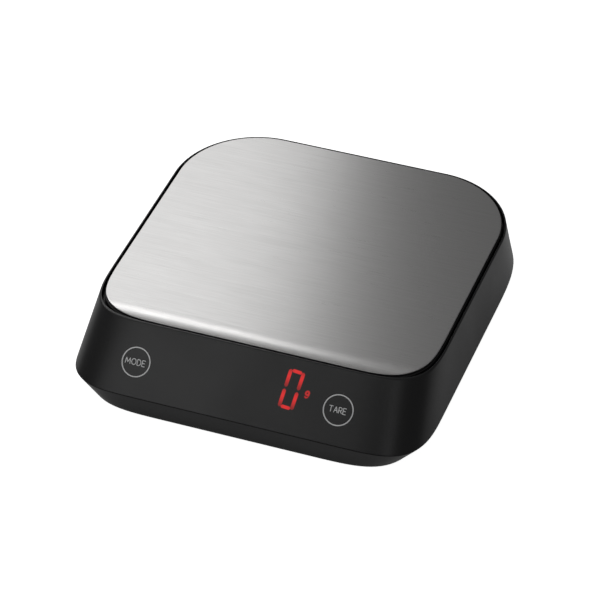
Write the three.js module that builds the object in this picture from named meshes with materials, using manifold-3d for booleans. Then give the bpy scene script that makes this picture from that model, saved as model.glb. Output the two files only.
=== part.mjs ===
// Compact kitchen scale, in millimetres, +Z up.
// The origin is on the standing surface, under the middle of the casing. The front, with the display, is -Y.
import * as THREE from 'three';
import { mergeVertices } from 'three/addons/utils/BufferGeometryUtils.js';
import Module from 'manifold-3d';

const wasm = await Module();
wasm.setup();

// ---- Driving dimensions ----

const GAP = 0.3; // between pieces that rest on each other

const HEIGHT = 33.4;
const PLATFORM = { width: 140, depth: 127.6, centreY: 9.7, frontRadius: 34, frontPower: 4.2, backRadius: 33.7 };
const SHEET = 0.8; // steel thickness
const ROLL = { length: 7.5, drop: 1.6 }; // how the front edge of the platform curves down
const CARRIER = { thickness: 2.8, lip: 0.5 };
const TRAVEL = 0.45; // the platform sinks by this much at full load

const RIM = { halfWidth: 72.15, front: -56.45, back: 75.55, frontRadius: 36.2, frontPower: 4.2, backRadius: 35.9 };
const CREASE = { halfWidth: 75.65, front: -76.6, back: 76.6, frontRadius: 34.4, backRadius: 58.6, power: 3.86 };
const BOTTOM = { halfWidth: 68.3, front: -76.4, back: 69.1, frontRadius: 37.9, backRadius: 37.9, power: 3.86 };
const RIM_Z = HEIGHT - 0.9;
const CREASE_Z = 10.35;
const BASE_Z = 1.4; // the feet stand out below the base by this much
const RIM_LAND = 0.62; // width of the flat top of the rim
const WALL = 2.2;
const SLANTED_WALL = 3; // the same wall, measured level through the sloping front
const FLOOR_TOP = 3.4;
const DECK = { bottom: 26.4, top: 28.6 };
const CORNER_STEPS = 10;

const CELL = { radius: 5.25, length: 43.5, nub: 1, nubRadius: 1.9, pitch: 10.9 };
const BATTERY_BOX = { halfWidth: 25.5, front: 26.6, back: 59.8, roof: 14, wall: 1.4 };
const DOOR_THICKNESS = 1.4;
const DOOR_TONGUE = { x: 14, halfWidth: 4, reach: 1.4, thickness: 0.8 };
const LATCH = { halfWidth: 6.5, reach: 3.4 };

const LOAD_CELL = { length: 75, width: 12.7, bottom: 8, top: 18, flexureX: 6, flexureRadius: 3.6 };
const LOAD_CELL_SCREWS = [19, 32]; // from the middle of the bar, along X
const SPACER = 1.2;
const PEDESTAL_TOP = LOAD_CELL.bottom - 2 * GAP - SPACER;
const FREE_END_CLEARANCE = TRAVEL + 0.25;
const BAR_HOLE = { radius: 2.3, headRadius: 3.9, headTop: 3.9 }; // clearance for the load cell's screws
const PEDESTAL_REACH = 25.5; // how far the pedestal runs under the bar
const SPACER_LENGTH = 25;
const STOP = { radius: 2.5, socketRadius: 1.3, socketDepth: 2, bossRadius: 5, bossTop: 6, holeRadius: 2.8 };
const SEALANT = { halfLength: 9, halfWidth: 5, height: 1.1 };

// On the right, mirrored on the left.
const HOUSING_SCREWS = [[58, -34], [60, 12], [46, 61]];
const HOUSING_POST = { bottom: 9, radius: 3.6, pilotRadius: 1.8, pilotTop: 18 };
const SCREW_BOSS = { top: 8.6, radius: 4.8, holeRadius: 1.9, boreRadius: 3.3, boreTop: 6.2 };
const SCREW_HEAD_Z = 4;
const PADS = { places: [[52, -36], [48, 56]], radius: 3, clearance: 0.1 };
const BOSS_MARGIN = 2; // room round the platform's boss where it passes through the deck
const DECK_OVERLAP = 0.5;
const FEET = { front: [55, -58], rear: [57, 42], radius: 6, height: 2.4, chamfer: 0.7, bossTop: 4.4, bossMargin: 1.8 };

const TOUCH = { modeX: -45.8, tareX: 39.6, along: -1.1, radius: 4.4, taper: 0.7, wire: 0.4, turns: 4.5 };
const DISPLAY = { left: -26, right: 28.5, low: -6.2, high: 10.8, front: 1.7, filter: 0.8, back: 8.6 };
const BOARD = { halfLength: 58, low: -10.5, high: 12, front: 8.9, thickness: 1.6, screwX: 54.5, screwAlong: 6 };
const BOARD_POST = { radius: 3, top: 1.8, pilotRadius: 1.4, pilotTop: 3.4 };
const CONTROLLER = { x: [-6, 6], along: [-5, 7], height: 1.5 };
const CONVERTER = { x: [-24, -18], along: [-4, 0], height: 1.3 };
const CONNECTOR = { along: [-8, -2], depth: 5, wall: 1.5, keyAlong: [-2.6, -1] };
const CABLE_PLUG = { x: -33, halfWidth: 5 };
const BATTERY_PLUG = { x: 20, halfWidth: 3.5, wireOffset: 1.6 };
const WIRE_ALONG = -5; // where the wires enter the connectors

const CONTACT = { half: 4.2, thickness: 0.4, wire: 0.3, bottomRadius: 3.4, topRadius: 1.8, turns: 3.5 };
const WIRE_RADIUS = 0.7;
const CABLE_RADIUS = 1.1;

// ---- Materials ----

const COLOURS = {
  steel: { color: 0xb9b9b7, metalness: 1, roughness: 0.35 },
  screwSteel: { color: 0x9a9a98, metalness: 1, roughness: 0.4 },
  spring: { color: 0xc8c6c0, metalness: 1, roughness: 0.3 },
  aluminium: { color: 0xc4c6c8, metalness: 1, roughness: 0.45 },
  blackPlastic: { color: 0x1d1d1f, metalness: 0, roughness: 0.55 },
  rubber: { color: 0x262626, metalness: 0, roughness: 0.9 },
  whiteSealant: { color: 0xe9e8e2, metalness: 0, roughness: 0.6 },
  board: { color: 0x1f5a34, metalness: 0, roughness: 0.5 },
  chip: { color: 0x161616, metalness: 0, roughness: 0.5 },
  connector: { color: 0xe6e2d4, metalness: 0, roughness: 0.5 },
  displayBody: { color: 0x2c2c30, metalness: 0, roughness: 0.5 },
  redFilter: { color: 0x5a0d0d, metalness: 0, roughness: 0.2 },
  cellWrap: { color: 0x2f6e8f, metalness: 0, roughness: 0.35 },
  greyCable: { color: 0x8a8c8e, metalness: 0, roughness: 0.5 },
  redWire: { color: 0xb3201c, metalness: 0, roughness: 0.45 },
  blackWire: { color: 0x151515, metalness: 0, roughness: 0.45 },
};

// ---- Geometry helpers ----

function signedVolume(positions, index) {
  const corner = [new THREE.Vector3(), new THREE.Vector3(), new THREE.Vector3()];
  let volume = 0;
  for (let i = 0; i < index.length; i += 3) {
    corner.forEach((point, k) => point.fromArray(positions, 3 * index[i + k]));
    volume += corner[0].dot(corner[1].cross(corner[2])) / 6;
  }
  return volume;
}

// The geometry as one closed skin of positions only, faces outward.
function closedSkin(geometry) {
  const bare = geometry.clone();
  bare.deleteAttribute('normal');
  bare.deleteAttribute('uv');
  const merged = mergeVertices(bare, 1e-4);
  const index = Array.from(merged.index.array);
  if (signedVolume(merged.attributes.position.array, index) < 0) index.reverse();
  merged.setIndex(index);
  return merged;
}

function toSolid(geometry) {
  const skin = closedSkin(geometry);
  const vertProperties = new Float32Array(skin.attributes.position.array);
  const triVerts = new Uint32Array(skin.index.array);
  return new wasm.Manifold(new wasm.Mesh({ numProp: 3, vertProperties, triVerts }));
}

function toGeometry(solid) {
  const mesh = solid.getMesh();
  const geometry = new THREE.BufferGeometry();
  geometry.setAttribute('position', new THREE.BufferAttribute(new Float32Array(mesh.vertProperties), 3));
  geometry.setIndex(Array.from(mesh.triVerts));
  return geometry;
}

function join(...geometries) {
  return toGeometry(geometries.map(toSolid).reduce((sum, next) => sum.add(next)));
}

function cut(geometry, ...tools) {
  return toGeometry(tools.map(toSolid).reduce((left, tool) => left.subtract(tool), toSolid(geometry)));
}

function common(first, second) {
  return toGeometry(toSolid(first).intersect(toSolid(second)));
}

function box([x0, x1], [y0, y1], [z0, z1]) {
  const geometry = new THREE.BoxGeometry(x1 - x0, y1 - y0, z1 - z0);
  return geometry.translate((x0 + x1) / 2, (y0 + y1) / 2, (z0 + z1) / 2);
}

function cylinder(x, y, [z0, z1], radius, sides = 20) {
  const geometry = new THREE.CylinderGeometry(radius, radius, z1 - z0, sides);
  return geometry.rotateX(Math.PI / 2).translate(x, y, (z0 + z1) / 2);
}

// A turned piece about Z from [radius, z] pairs.
function turned(profile, sides = 20) {
  const points = profile.map(([radius, z]) => new THREE.Vector2(radius, z));
  return new THREE.LatheGeometry(points, sides).rotateX(Math.PI / 2);
}

function mirroredX(x) {
  return [-x, x];
}

// A rounded rectangle, counter-clockwise. Its corners are quarters of a superellipse: power 2 is round.
function outline({ halfWidth, front, back, frontRadius, backRadius, power = 2, frontPower = power }) {
  const points = [];
  const corner = (x, y, radius, bend, start) => {
    for (let step = 0; step <= CORNER_STEPS; step += 1) {
      const angle = start + (step / CORNER_STEPS) * (Math.PI / 2);
      const bulge = (value) => Math.sign(value) * Math.abs(value) ** (2 / bend);
      points.push(new THREE.Vector2(x + radius * bulge(Math.cos(angle)), y + radius * bulge(Math.sin(angle))));
    }
  };
  corner(frontRadius - halfWidth, front + frontRadius, frontRadius, frontPower, Math.PI);
  corner(halfWidth - frontRadius, front + frontRadius, frontRadius, frontPower, 1.5 * Math.PI);
  corner(halfWidth - backRadius, back - backRadius, backRadius, power, 0);
  corner(backRadius - halfWidth, back - backRadius, backRadius, power, 0.5 * Math.PI);
  return points;
}

// The same rounded rectangle with its edge moved inward.
function inset(shape, side, front = side) {
  return {
    ...shape,
    halfWidth: shape.halfWidth - side,
    front: shape.front + front,
    back: shape.back - side,
    frontRadius: shape.frontRadius - side,
    backRadius: shape.backRadius - side,
  };
}

// Rings between two outlines, by the height z at which each is wanted.
function between(lower, lowerZ, upper, upperZ, z) {
  const share = (z - lowerZ) / (upperZ - lowerZ);
  const upperPoints = outline(upper);
  return outline(lower).map((point, i) => point.clone().lerp(upperPoints[i], share));
}

// A closed skin through level rings of equally many points, from the lowest up.
function loft(rings) {
  const count = rings[0].points.length;
  const positions = rings.flatMap(({ points, z }) => points.flatMap((point) => [point.x, point.y, z]));
  const index = [];
  for (let ring = 0; ring + 1 < rings.length; ring += 1) {
    for (let i = 0; i < count; i += 1) {
      const a = ring * count + i;
      const b = ring * count + ((i + 1) % count);
      index.push(a, b, b + count, a, b + count, a + count);
    }
  }
  const top = (rings.length - 1) * count;
  for (const [a, b, c] of THREE.ShapeUtils.triangulateShape(rings[0].points, [])) {
    index.push(a, c, b);
  }
  for (const [a, b, c] of THREE.ShapeUtils.triangulateShape(rings.at(-1).points, [])) {
    index.push(top + a, top + b, top + c);
  }
  const geometry = new THREE.BufferGeometry();
  geometry.setAttribute('position', new THREE.Float32BufferAttribute(positions, 3));
  return geometry.setIndex(index);
}

function slab(shape, [z0, z1]) {
  const points = outline(shape);
  return loft([{ points, z: z0 }, { points, z: z1 }]);
}

// A Y-Z outline drawn out along X.
function drawnAlongX(profile, halfLength) {
  const shape = new THREE.Shape(profile.map(([y, z]) => new THREE.Vector2(y, z)));
  const geometry = new THREE.ExtrudeGeometry(shape, { depth: 2 * halfLength, bevelEnabled: false });
  const axes = [new THREE.Vector3(0, 1, 0), new THREE.Vector3(0, 0, 1), new THREE.Vector3(1, 0, 0)];
  return geometry.applyMatrix4(new THREE.Matrix4().makeBasis(...axes)).translate(-halfLength, 0, 0);
}

function wire(points, radius, steps, sides = 8) {
  const section = new THREE.Shape();
  for (let i = 0; i < sides; i += 1) {
    const angle = (2 * Math.PI * i) / sides;
    const place = [radius * Math.cos(angle), radius * Math.sin(angle)];
    if (i === 0) section.moveTo(...place);
    else section.lineTo(...place);
  }
  const extrudePath = new THREE.CatmullRomCurve3(points.map((point) => new THREE.Vector3(...point)));
  return new THREE.ExtrudeGeometry(section, { steps, extrudePath, bevelEnabled: false });
}

// A coil about Z that may taper, with stepsPerTurn straight pieces in each turn.
function coil({ bottom, top, bottomRadius, topRadius, turns, wireRadius, stepsPerTurn = 14 }) {
  const count = Math.round(turns * stepsPerTurn);
  const points = [];
  for (let i = 0; i <= count; i += 1) {
    const share = i / count;
    const angle = 2 * Math.PI * turns * share;
    const radius = THREE.MathUtils.lerp(bottomRadius, topRadius, share);
    points.push([radius * Math.cos(angle), radius * Math.sin(angle), THREE.MathUtils.lerp(bottom, top, share)]);
  }
  return wire(points, wireRadius, count, 6);
}

// A cross-recessed screw with its head's outer face at z = 0 and the shank towards +Z.
function screw({ headRadius, headHeight, shankRadius, length }) {
  const tip = headHeight + length;
  const body = turned([
    [0, 0],
    [headRadius * 0.8, 0],
    [headRadius, headHeight * 0.4],
    [headRadius, headHeight],
    [shankRadius, headHeight],
    [shankRadius, tip - shankRadius * 0.6],
    [shankRadius * 0.5, tip],
    [0, tip],
  ], 12);
  const slotHalf = headRadius * 0.12;
  const slotReach = headRadius * 0.55;
  const depth = [-1, headHeight * 0.6];
  const slot = box([-slotReach, slotReach], [-slotHalf, slotHalf], depth);
  const crossSlot = box([-slotHalf, slotHalf], [-slotReach, slotReach], depth);
  return cut(body, slot, crossSlot);
}

// ---- The scene graph ----

const scale = new THREE.Group();

const panelRise = RIM_Z - CREASE_Z;
const panelRun = RIM.front - CREASE.front;
// The frame of the sloping front panel: x along the scale, y up the slope, z out of the panel.
const panel = new THREE.Group();
panel.position.set(0, (RIM.front + CREASE.front) / 2, (RIM_Z + CREASE_Z) / 2);
panel.rotation.x = Math.atan2(panelRise, panelRun);
panel.updateMatrix();
scale.add(panel);

function add(name, geometry, look, parent = scale) {
  const mesh = new THREE.Mesh(closedSkin(geometry), new THREE.MeshStandardMaterial(COLOURS[look]));
  mesh.name = name;
  parent.add(mesh);
  return mesh;
}

function inPanel(geometry) {
  return geometry.clone().applyMatrix4(panel.matrix);
}

// ---- Platform ----

const platformFront = PLATFORM.centreY - PLATFORM.depth / 2;
const platformBack = PLATFORM.centreY + PLATFORM.depth / 2;
const platformShape = {
  halfWidth: PLATFORM.width / 2,
  front: platformFront,
  back: platformBack,
  frontRadius: PLATFORM.frontRadius,
  frontPower: PLATFORM.frontPower,
  backRadius: PLATFORM.backRadius,
};
const rollRadius = (ROLL.length ** 2 + ROLL.drop ** 2) / (2 * ROLL.drop);
const rollStartY = platformFront + ROLL.length;

// The curved-down front in Y-Z at a depth below the platform's top face, from the front to the flat.
function rollArc(depth) {
  const lastAngle = Math.asin((ROLL.length + 1) / rollRadius);
  const steps = 8;
  const points = [];
  for (let i = 0; i <= steps; i += 1) {
    const angle = lastAngle * (1 - i / steps);
    const radius = rollRadius - depth;
    points.push([rollStartY - radius * Math.sin(angle), HEIGHT - rollRadius + radius * Math.cos(angle)]);
  }
  return points;
}

const carrierTop = HEIGHT - SHEET - GAP;
const carrierBottom = carrierTop - CARRIER.thickness;
const spacerBottom = LOAD_CELL.top + FREE_END_CLEARANCE;
const bossBottom = spacerBottom + SPACER + GAP;
const bossX = [12.5, 38];
const bossHalfDepth = 6.5;

function platformPlate() {
  const reach = platformBack + 5;
  const profile = [...rollArc(0), [reach, HEIGHT], [reach, HEIGHT - SHEET], ...rollArc(SHEET).reverse()];
  const sheet = drawnAlongX(profile, PLATFORM.width);
  return common(sheet, slab(platformShape, [HEIGHT - 10, HEIGHT + 10]));
}

function platformCarrier() {
  const reach = platformBack + 5;
  const top = rollArc(SHEET + GAP);
  const profile = [[top[0][0], carrierBottom], ...top, [reach, carrierTop], [reach, carrierBottom]];
  const tray = common(
    drawnAlongX(profile, PLATFORM.width),
    slab(inset(platformShape, -CARRIER.lip), [carrierBottom - 5, HEIGHT]),
  );
  const y = [PLATFORM.centreY - bossHalfDepth, PLATFORM.centreY + bossHalfDepth];
  const boss = box(bossX, y, [bossBottom, carrierBottom + 1]);
  const holes = LOAD_CELL_SCREWS.flatMap((x) => [
    cylinder(x, PLATFORM.centreY, [bossBottom - 1, HEIGHT], BAR_HOLE.radius),
    cylinder(x, PLATFORM.centreY, [carrierBottom + 0.2, HEIGHT], BAR_HOLE.headRadius),
  ]);
  return cut(join(tray, boss), ...holes);
}

add('platform_plate', platformPlate(), 'steel');
add('platform_carrier', platformCarrier(), 'blackPlastic');

// ---- Casing ----

function creaseRing(z, side = 0, front = side) {
  return { points: between(inset(CREASE, side, front), CREASE_Z, inset(RIM, side, front), RIM_Z, z), z };
}

function baseRing(z, side = 0) {
  return { points: between(inset(BOTTOM, side), BASE_Z, inset(CREASE, side), CREASE_Z, z), z };
}

function housingPost(x, y) {
  return cylinder(x, y, [HOUSING_POST.bottom, DECK.bottom + DECK_OVERLAP], HOUSING_POST.radius);
}

function eachHousingScrew(make) {
  return HOUSING_SCREWS.flatMap(([x, y]) => mirroredX(x).map((side) => make(side, y)));
}

function eachFoot(make) {
  return [FEET.front, FEET.rear].flatMap(([x, y]) => mirroredX(x).map((side) => make(side, y)));
}

function topHousing() {
  const edge = 0.3;
  const outer = loft([
    creaseRing(CREASE_Z, edge),
    creaseRing(CREASE_Z + 0.5),
    creaseRing(RIM_Z - edge),
    { points: outline(inset(RIM, edge * 0.7)), z: RIM_Z },
  ]);
  const recess = slab(inset(RIM, RIM_LAND + 0.02), [DECK.top, RIM_Z + 1]);
  const cavity = loft([
    creaseRing(CREASE_Z - 1, WALL, SLANTED_WALL),
    creaseRing(DECK.bottom, WALL, SLANTED_WALL),
  ]);
  const shell = cut(outer, recess, cavity);
  const boardPosts = mirroredX(BOARD.screwX).map((x) => (
    inPanel(cylinder(x, BOARD.screwAlong, [GAP - BOARD.front, -BOARD_POST.top], BOARD_POST.radius))
  ));
  const padPlaces = PADS.places.flatMap(([x, y]) => mirroredX(x).map((side) => [side, y]));
  const padTop = carrierBottom - TRAVEL - PADS.clearance;
  const pads = padPlaces.map(([x, y]) => cylinder(x, y, [DECK.top - DECK_OVERLAP, padTop], PADS.radius));
  const full = join(shell, ...eachHousingScrew(housingPost), ...boardPosts, ...pads);
  const openingHalf = bossHalfDepth + BOSS_MARGIN;
  const bossOpeningX = [bossX[0] - BOSS_MARGIN, bossX[1] + BOSS_MARGIN];
  const bossOpeningY = [PLATFORM.centreY - openingHalf, PLATFORM.centreY + openingHalf];
  const pilots = eachHousingScrew((x, y) => (
    cylinder(x, y, [HOUSING_POST.bottom - 1, HOUSING_POST.pilotTop], HOUSING_POST.pilotRadius, 12)
  ));
  const boardPilots = mirroredX(BOARD.screwX).map((x) => (
    inPanel(cylinder(x, BOARD.screwAlong, [-BOARD.front, -BOARD_POST.pilotTop], BOARD_POST.pilotRadius, 12))
  ));
  const displayPocket = inPanel(box(
    [DISPLAY.left - GAP, DISPLAY.right + GAP],
    [DISPLAY.low - GAP, DISPLAY.high + GAP],
    [-BOARD.front, GAP - DISPLAY.front],
  ));
  const bossOpening = box(bossOpeningX, bossOpeningY, [DECK.bottom - 1, DECK.top + 1]);
  return cut(full, bossOpening, displayPocket, ...pilots, ...boardPilots);
}

function baseHousing() {
  const rounding = 0.6;
  const insideFloor = BASE_Z + 0.5; // where what stands on the floor starts, inside its thickness
  const outer = loft([
    baseRing(BASE_Z, rounding),
    baseRing(BASE_Z + 0.3 * rounding, 0.3 * rounding),
    baseRing(BASE_Z + rounding),
    baseRing(CREASE_Z - GAP),
  ]);
  const cavity = loft([baseRing(FLOOR_TOP, WALL + 0.3), baseRing(CREASE_Z + 1, WALL + 0.3)]);
  const { halfWidth, front, back, roof, wall } = BATTERY_BOX;
  const batteryBox = box(
    [-halfWidth - wall, halfWidth + wall],
    [front - wall, back + wall],
    [insideFloor, roof + wall],
  );
  const fixedEnd = [-LOAD_CELL.length / 2 - 1, -LOAD_CELL.length / 2 + PEDESTAL_REACH];
  const pedestalY = [PLATFORM.centreY - LOAD_CELL.width / 2 - 1, PLATFORM.centreY + LOAD_CELL.width / 2 + 1];
  const pedestal = box(fixedEnd, pedestalY, [insideFloor, PEDESTAL_TOP]);
  const stopBoss = cylinder(LOAD_CELL_SCREWS[1], PLATFORM.centreY, [insideFloor, STOP.bossTop], STOP.bossRadius);
  const screwBosses = eachHousingScrew((x, y) => cylinder(x, y, [insideFloor, SCREW_BOSS.top], SCREW_BOSS.radius));
  const footBosses = eachFoot((x, y) => (
    cylinder(x, y, [insideFloor, FEET.bossTop], FEET.radius + FEET.bossMargin, 24)
  ));
  const full = join(cut(outer, cavity), batteryBox, pedestal, stopBoss, ...screwBosses, ...footBosses);

  const below = BASE_Z - 1;
  const batterySpace = box([-halfWidth, halfWidth], [front, back], [below, roof]);
  const latchNotch = box(
    [-LATCH.halfWidth - GAP, LATCH.halfWidth + GAP],
    [front - LATCH.reach - GAP, front + 1],
    [below, BASE_Z + DOOR_THICKNESS + GAP],
  );
  const tongueNotches = mirroredX(DOOR_TONGUE.x).map((x) => box(
    [x - DOOR_TONGUE.halfWidth - GAP, x + DOOR_TONGUE.halfWidth + GAP],
    [back - 1, back + DOOR_TONGUE.reach + 0.9],
    [below, FLOOR_TOP + 0.8],
  ));
  const footSeats = eachFoot((x, y) => cylinder(x, y, [below, FEET.height + GAP], FEET.radius + GAP, 24));
  const screwHoles = eachHousingScrew((x, y) => (
    cylinder(x, y, [below, SCREW_BOSS.top + 0.4], SCREW_BOSS.holeRadius, 12)
  ));
  const screwBores = eachHousingScrew((x, y) => (
    cylinder(x, y, [below, SCREW_BOSS.boreTop], SCREW_BOSS.boreRadius, 16)
  ));
  const cellHoles = LOAD_CELL_SCREWS.flatMap((x) => [
    cylinder(-x, PLATFORM.centreY, [below, PEDESTAL_TOP + 1], BAR_HOLE.radius),
    cylinder(-x, PLATFORM.centreY, [below, BAR_HOLE.headTop], BAR_HOLE.headRadius),
  ]);
  const stopHole = cylinder(LOAD_CELL_SCREWS[1], PLATFORM.centreY, [below, STOP.bossTop + 1], STOP.holeRadius, 12);
  return cut(
    full,
    batterySpace,
    latchNotch,
    ...tongueNotches,
    ...footSeats,
    ...screwHoles,
    ...screwBores,
    ...cellHoles,
    stopHole,
  );
}

add('top_housing', topHousing(), 'blackPlastic');
add('base_housing', baseHousing(), 'blackPlastic');

const housingScrew = screw({ headRadius: 2.8, headHeight: 1.9, shankRadius: 1.5, length: 11 });
const SCREW_NAMES = ['front', 'middle', 'rear'];
HOUSING_SCREWS.forEach(([x, y], i) => {
  for (const [side, sideX] of [['left', -x], ['right', x]]) {
    const mesh = add(`housing_screw_${SCREW_NAMES[i]}_${side}`, housingScrew, 'screwSteel');
    mesh.position.set(sideX, y, SCREW_HEAD_Z);
  }
});

const foot = turned([
  [0, 0],
  [FEET.radius - FEET.chamfer, 0],
  [FEET.radius, FEET.chamfer],
  [FEET.radius, FEET.height],
  [0, FEET.height],
], 20);
for (const [end, [x, y]] of [['front', FEET.front], ['rear', FEET.rear]]) {
  for (const [side, sideX] of [['left', -x], ['right', x]]) {
    add(`foot_${end}_${side}`, foot, 'rubber').position.set(sideX, y, 0);
  }
}

// ---- Battery compartment ----

function batteryDoor() {
  const { halfWidth, front, back } = BATTERY_BOX;
  const z = [BASE_Z, BASE_Z + DOOR_THICKNESS];
  const leaf = box([GAP - halfWidth, halfWidth - GAP], [front + GAP, back - GAP], z);
  const latch = box(
    [-LATCH.halfWidth, LATCH.halfWidth],
    [front - LATCH.reach, front + GAP + 1],
    [BASE_Z + 0.2, z[1]],
  );
  const tongues = mirroredX(DOOR_TONGUE.x).map((x) => box(
    [x - DOOR_TONGUE.halfWidth, x + DOOR_TONGUE.halfWidth],
    [back - GAP - 1, back - GAP + DOOR_TONGUE.reach],
    [z[1] - DOOR_TONGUE.thickness, z[1]],
  ));
  const grips = [-2, 0, 2].map((offset) => box(
    [-LATCH.halfWidth + 1, LATCH.halfWidth - 1],
    [front + 4 + offset - 0.4, front + 4 + offset + 0.4],
    [z[0] - 1, z[0] + 0.4],
  ));
  return cut(join(leaf, latch, ...tongues), ...grips);
}

add('battery_door', batteryDoor(), 'blackPlastic');

const cellsMiddleY = (BATTERY_BOX.front + BATTERY_BOX.back) / 2;
const cellZ = BASE_Z + DOOR_THICKNESS + GAP + CELL.radius;
const plateFace = BATTERY_BOX.halfWidth - GAP - CONTACT.thickness; // inner face of a contact plate, from the middle
const cellRowY = [-1, 0, 1].map((row) => cellsMiddleY + row * CELL.pitch);

function batteryCell() {
  return turned([
    [0, 0],
    [CELL.radius - 0.3, 0],
    [CELL.radius, 0.3],
    [CELL.radius, CELL.length - 0.3],
    [CELL.radius - 0.3, CELL.length],
    [CELL.nubRadius, CELL.length],
    [CELL.nubRadius, CELL.length + CELL.nub],
    [0, CELL.length + CELL.nub],
  ], 24);
}

// The nub of each cell points left, right, left, so that the three are in series.
const cellDirections = [-1, 1, -1];
cellRowY.forEach((y, i) => {
  const mesh = add(`battery_cell_${i + 1}`, batteryCell(), 'cellWrap');
  mesh.rotation.y = cellDirections[i] * (Math.PI / 2);
  mesh.position.set(-cellDirections[i] * (CELL.length + CELL.nub - plateFace + GAP), y, cellZ);
});

// A contact at one end of the compartment: a plate across its cells, with a spring for each negative end.
function contact(side, rows, springRows) {
  const y = [cellRowY[rows[0]] - CONTACT.half, cellRowY[rows.at(-1)] + CONTACT.half];
  const x = [side * plateFace, side * (plateFace + CONTACT.thickness)].sort((a, b) => a - b);
  const plate = box(x, y, [cellZ - CONTACT.half, cellZ + CONTACT.half]);
  const freeLength = 2 * plateFace - CELL.length - CELL.nub - 2 * GAP;
  const springs = springRows.map((row) => {
    const spring = coil({
      bottom: -CONTACT.wire,
      top: freeLength - CONTACT.wire - 0.1,
      bottomRadius: CONTACT.bottomRadius,
      topRadius: CONTACT.topRadius,
      turns: CONTACT.turns,
      wireRadius: CONTACT.wire,
      stepsPerTurn: 10,
    });
    return spring.rotateY(-side * (Math.PI / 2)).translate(side * plateFace, cellRowY[row], cellZ);
  });
  return join(plate, ...springs);
}

add('contact_negative', contact(1, [0], [0]), 'spring');
add('contact_bridge_left', contact(-1, [0, 1], [1]), 'spring');
add('contact_bridge_right', contact(1, [1, 2], [2]), 'spring');
add('contact_positive', contact(-1, [2], []), 'spring');

// ---- Load cell ----

function loadCell() {
  const half = LOAD_CELL.length / 2;
  const y = [PLATFORM.centreY - LOAD_CELL.width / 2, PLATFORM.centreY + LOAD_CELL.width / 2];
  const bar = box([-half, half], y, [LOAD_CELL.bottom, LOAD_CELL.top]);
  const middleZ = (LOAD_CELL.bottom + LOAD_CELL.top) / 2;
  const flexures = mirroredX(LOAD_CELL.flexureX).map((x) => {
    const hole = new THREE.CylinderGeometry(LOAD_CELL.flexureRadius, LOAD_CELL.flexureRadius, 20, 20);
    return hole.translate(x, PLATFORM.centreY, middleZ);
  });
  const slotX = [-LOAD_CELL.flexureX, LOAD_CELL.flexureX];
  const slot = box(slotX, [y[0] - 1, y[1] + 1], [middleZ - 0.8, middleZ + 0.8]);
  const holes = LOAD_CELL_SCREWS.flatMap(mirroredX).map((x) => (
    cylinder(x, PLATFORM.centreY, [LOAD_CELL.bottom - 1, LOAD_CELL.top + 1], BAR_HOLE.radius, 16)
  ));
  return cut(bar, ...flexures, slot, ...holes);
}

function loadCellSpacer(side, bottom) {
  const half = LOAD_CELL.length / 2;
  const x = [side * half, side * (half - SPACER_LENGTH)].sort((a, b) => a - b);
  const y = [PLATFORM.centreY - LOAD_CELL.width / 2, PLATFORM.centreY + LOAD_CELL.width / 2];
  const holes = LOAD_CELL_SCREWS.map((place) => (
    cylinder(side * place, PLATFORM.centreY, [bottom - 1, bottom + SPACER + 1], BAR_HOLE.radius, 16)
  ));
  return cut(box(x, y, [bottom, bottom + SPACER]), ...holes);
}

add('load_cell', loadCell(), 'aluminium');
add('lower_spacer', loadCellSpacer(-1, PEDESTAL_TOP + GAP), 'screwSteel');
add('upper_spacer', loadCellSpacer(1, spacerBottom), 'screwSteel');

const sealantX = [-SEALANT.halfLength, SEALANT.halfLength];
const sealantY = [PLATFORM.centreY - SEALANT.halfWidth, PLATFORM.centreY + SEALANT.halfWidth];
const sealantZ = [LOAD_CELL.top + GAP, LOAD_CELL.top + GAP + SEALANT.height];
add('gauge_sealant', box(sealantX, sealantY, sealantZ), 'whiteSealant');

const barScrew = screw({ headRadius: 3.5, headHeight: 2, shankRadius: 2, length: 12.4 });
LOAD_CELL_SCREWS.forEach((x, i) => {
  add(`load_cell_screw_${i + 1}`, barScrew, 'screwSteel').position.set(-x, PLATFORM.centreY, BASE_Z + 0.2);
});
const carrierHead = 1.9;
const carrierScrew = screw({ headRadius: 3.5, headHeight: carrierHead, shankRadius: 2, length: 16 });
LOAD_CELL_SCREWS.forEach((x, i) => {
  const mesh = add(`carrier_screw_${i + 1}`, carrierScrew, 'screwSteel');
  mesh.rotation.x = Math.PI;
  mesh.position.set(x, PLATFORM.centreY, carrierBottom + 0.5 + carrierHead);
});

function overloadStop() {
  const top = LOAD_CELL.bottom - TRAVEL - 0.1;
  const bottom = BASE_Z + 0.4;
  const body = cylinder(0, 0, [bottom, top], STOP.radius, 16);
  const socket = cylinder(0, 0, [bottom - STOP.socketDepth, bottom + STOP.socketDepth], STOP.socketRadius, 6);
  return cut(body, socket);
}

add('overload_stop', overloadStop(), 'screwSteel').position.set(LOAD_CELL_SCREWS[1], PLATFORM.centreY, 0);

// ---- Electronics, in the frame of the front panel ----

const boardBack = -BOARD.front - BOARD.thickness;
const partsFace = boardBack - GAP;

function mainBoard() {
  const board = box([-BOARD.halfLength, BOARD.halfLength], [BOARD.low, BOARD.high], [boardBack, -BOARD.front]);
  const holes = mirroredX(BOARD.screwX).map((x) => (
    cylinder(x, BOARD.screwAlong, [boardBack - 1, 1 - BOARD.front], BOARD_POST.pilotRadius, 12)
  ));
  return cut(board, ...holes);
}

const displayX = [DISPLAY.left, DISPLAY.right];
const displayAlong = [DISPLAY.low, DISPLAY.high];
const filterBack = -DISPLAY.front - DISPLAY.filter;

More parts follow.
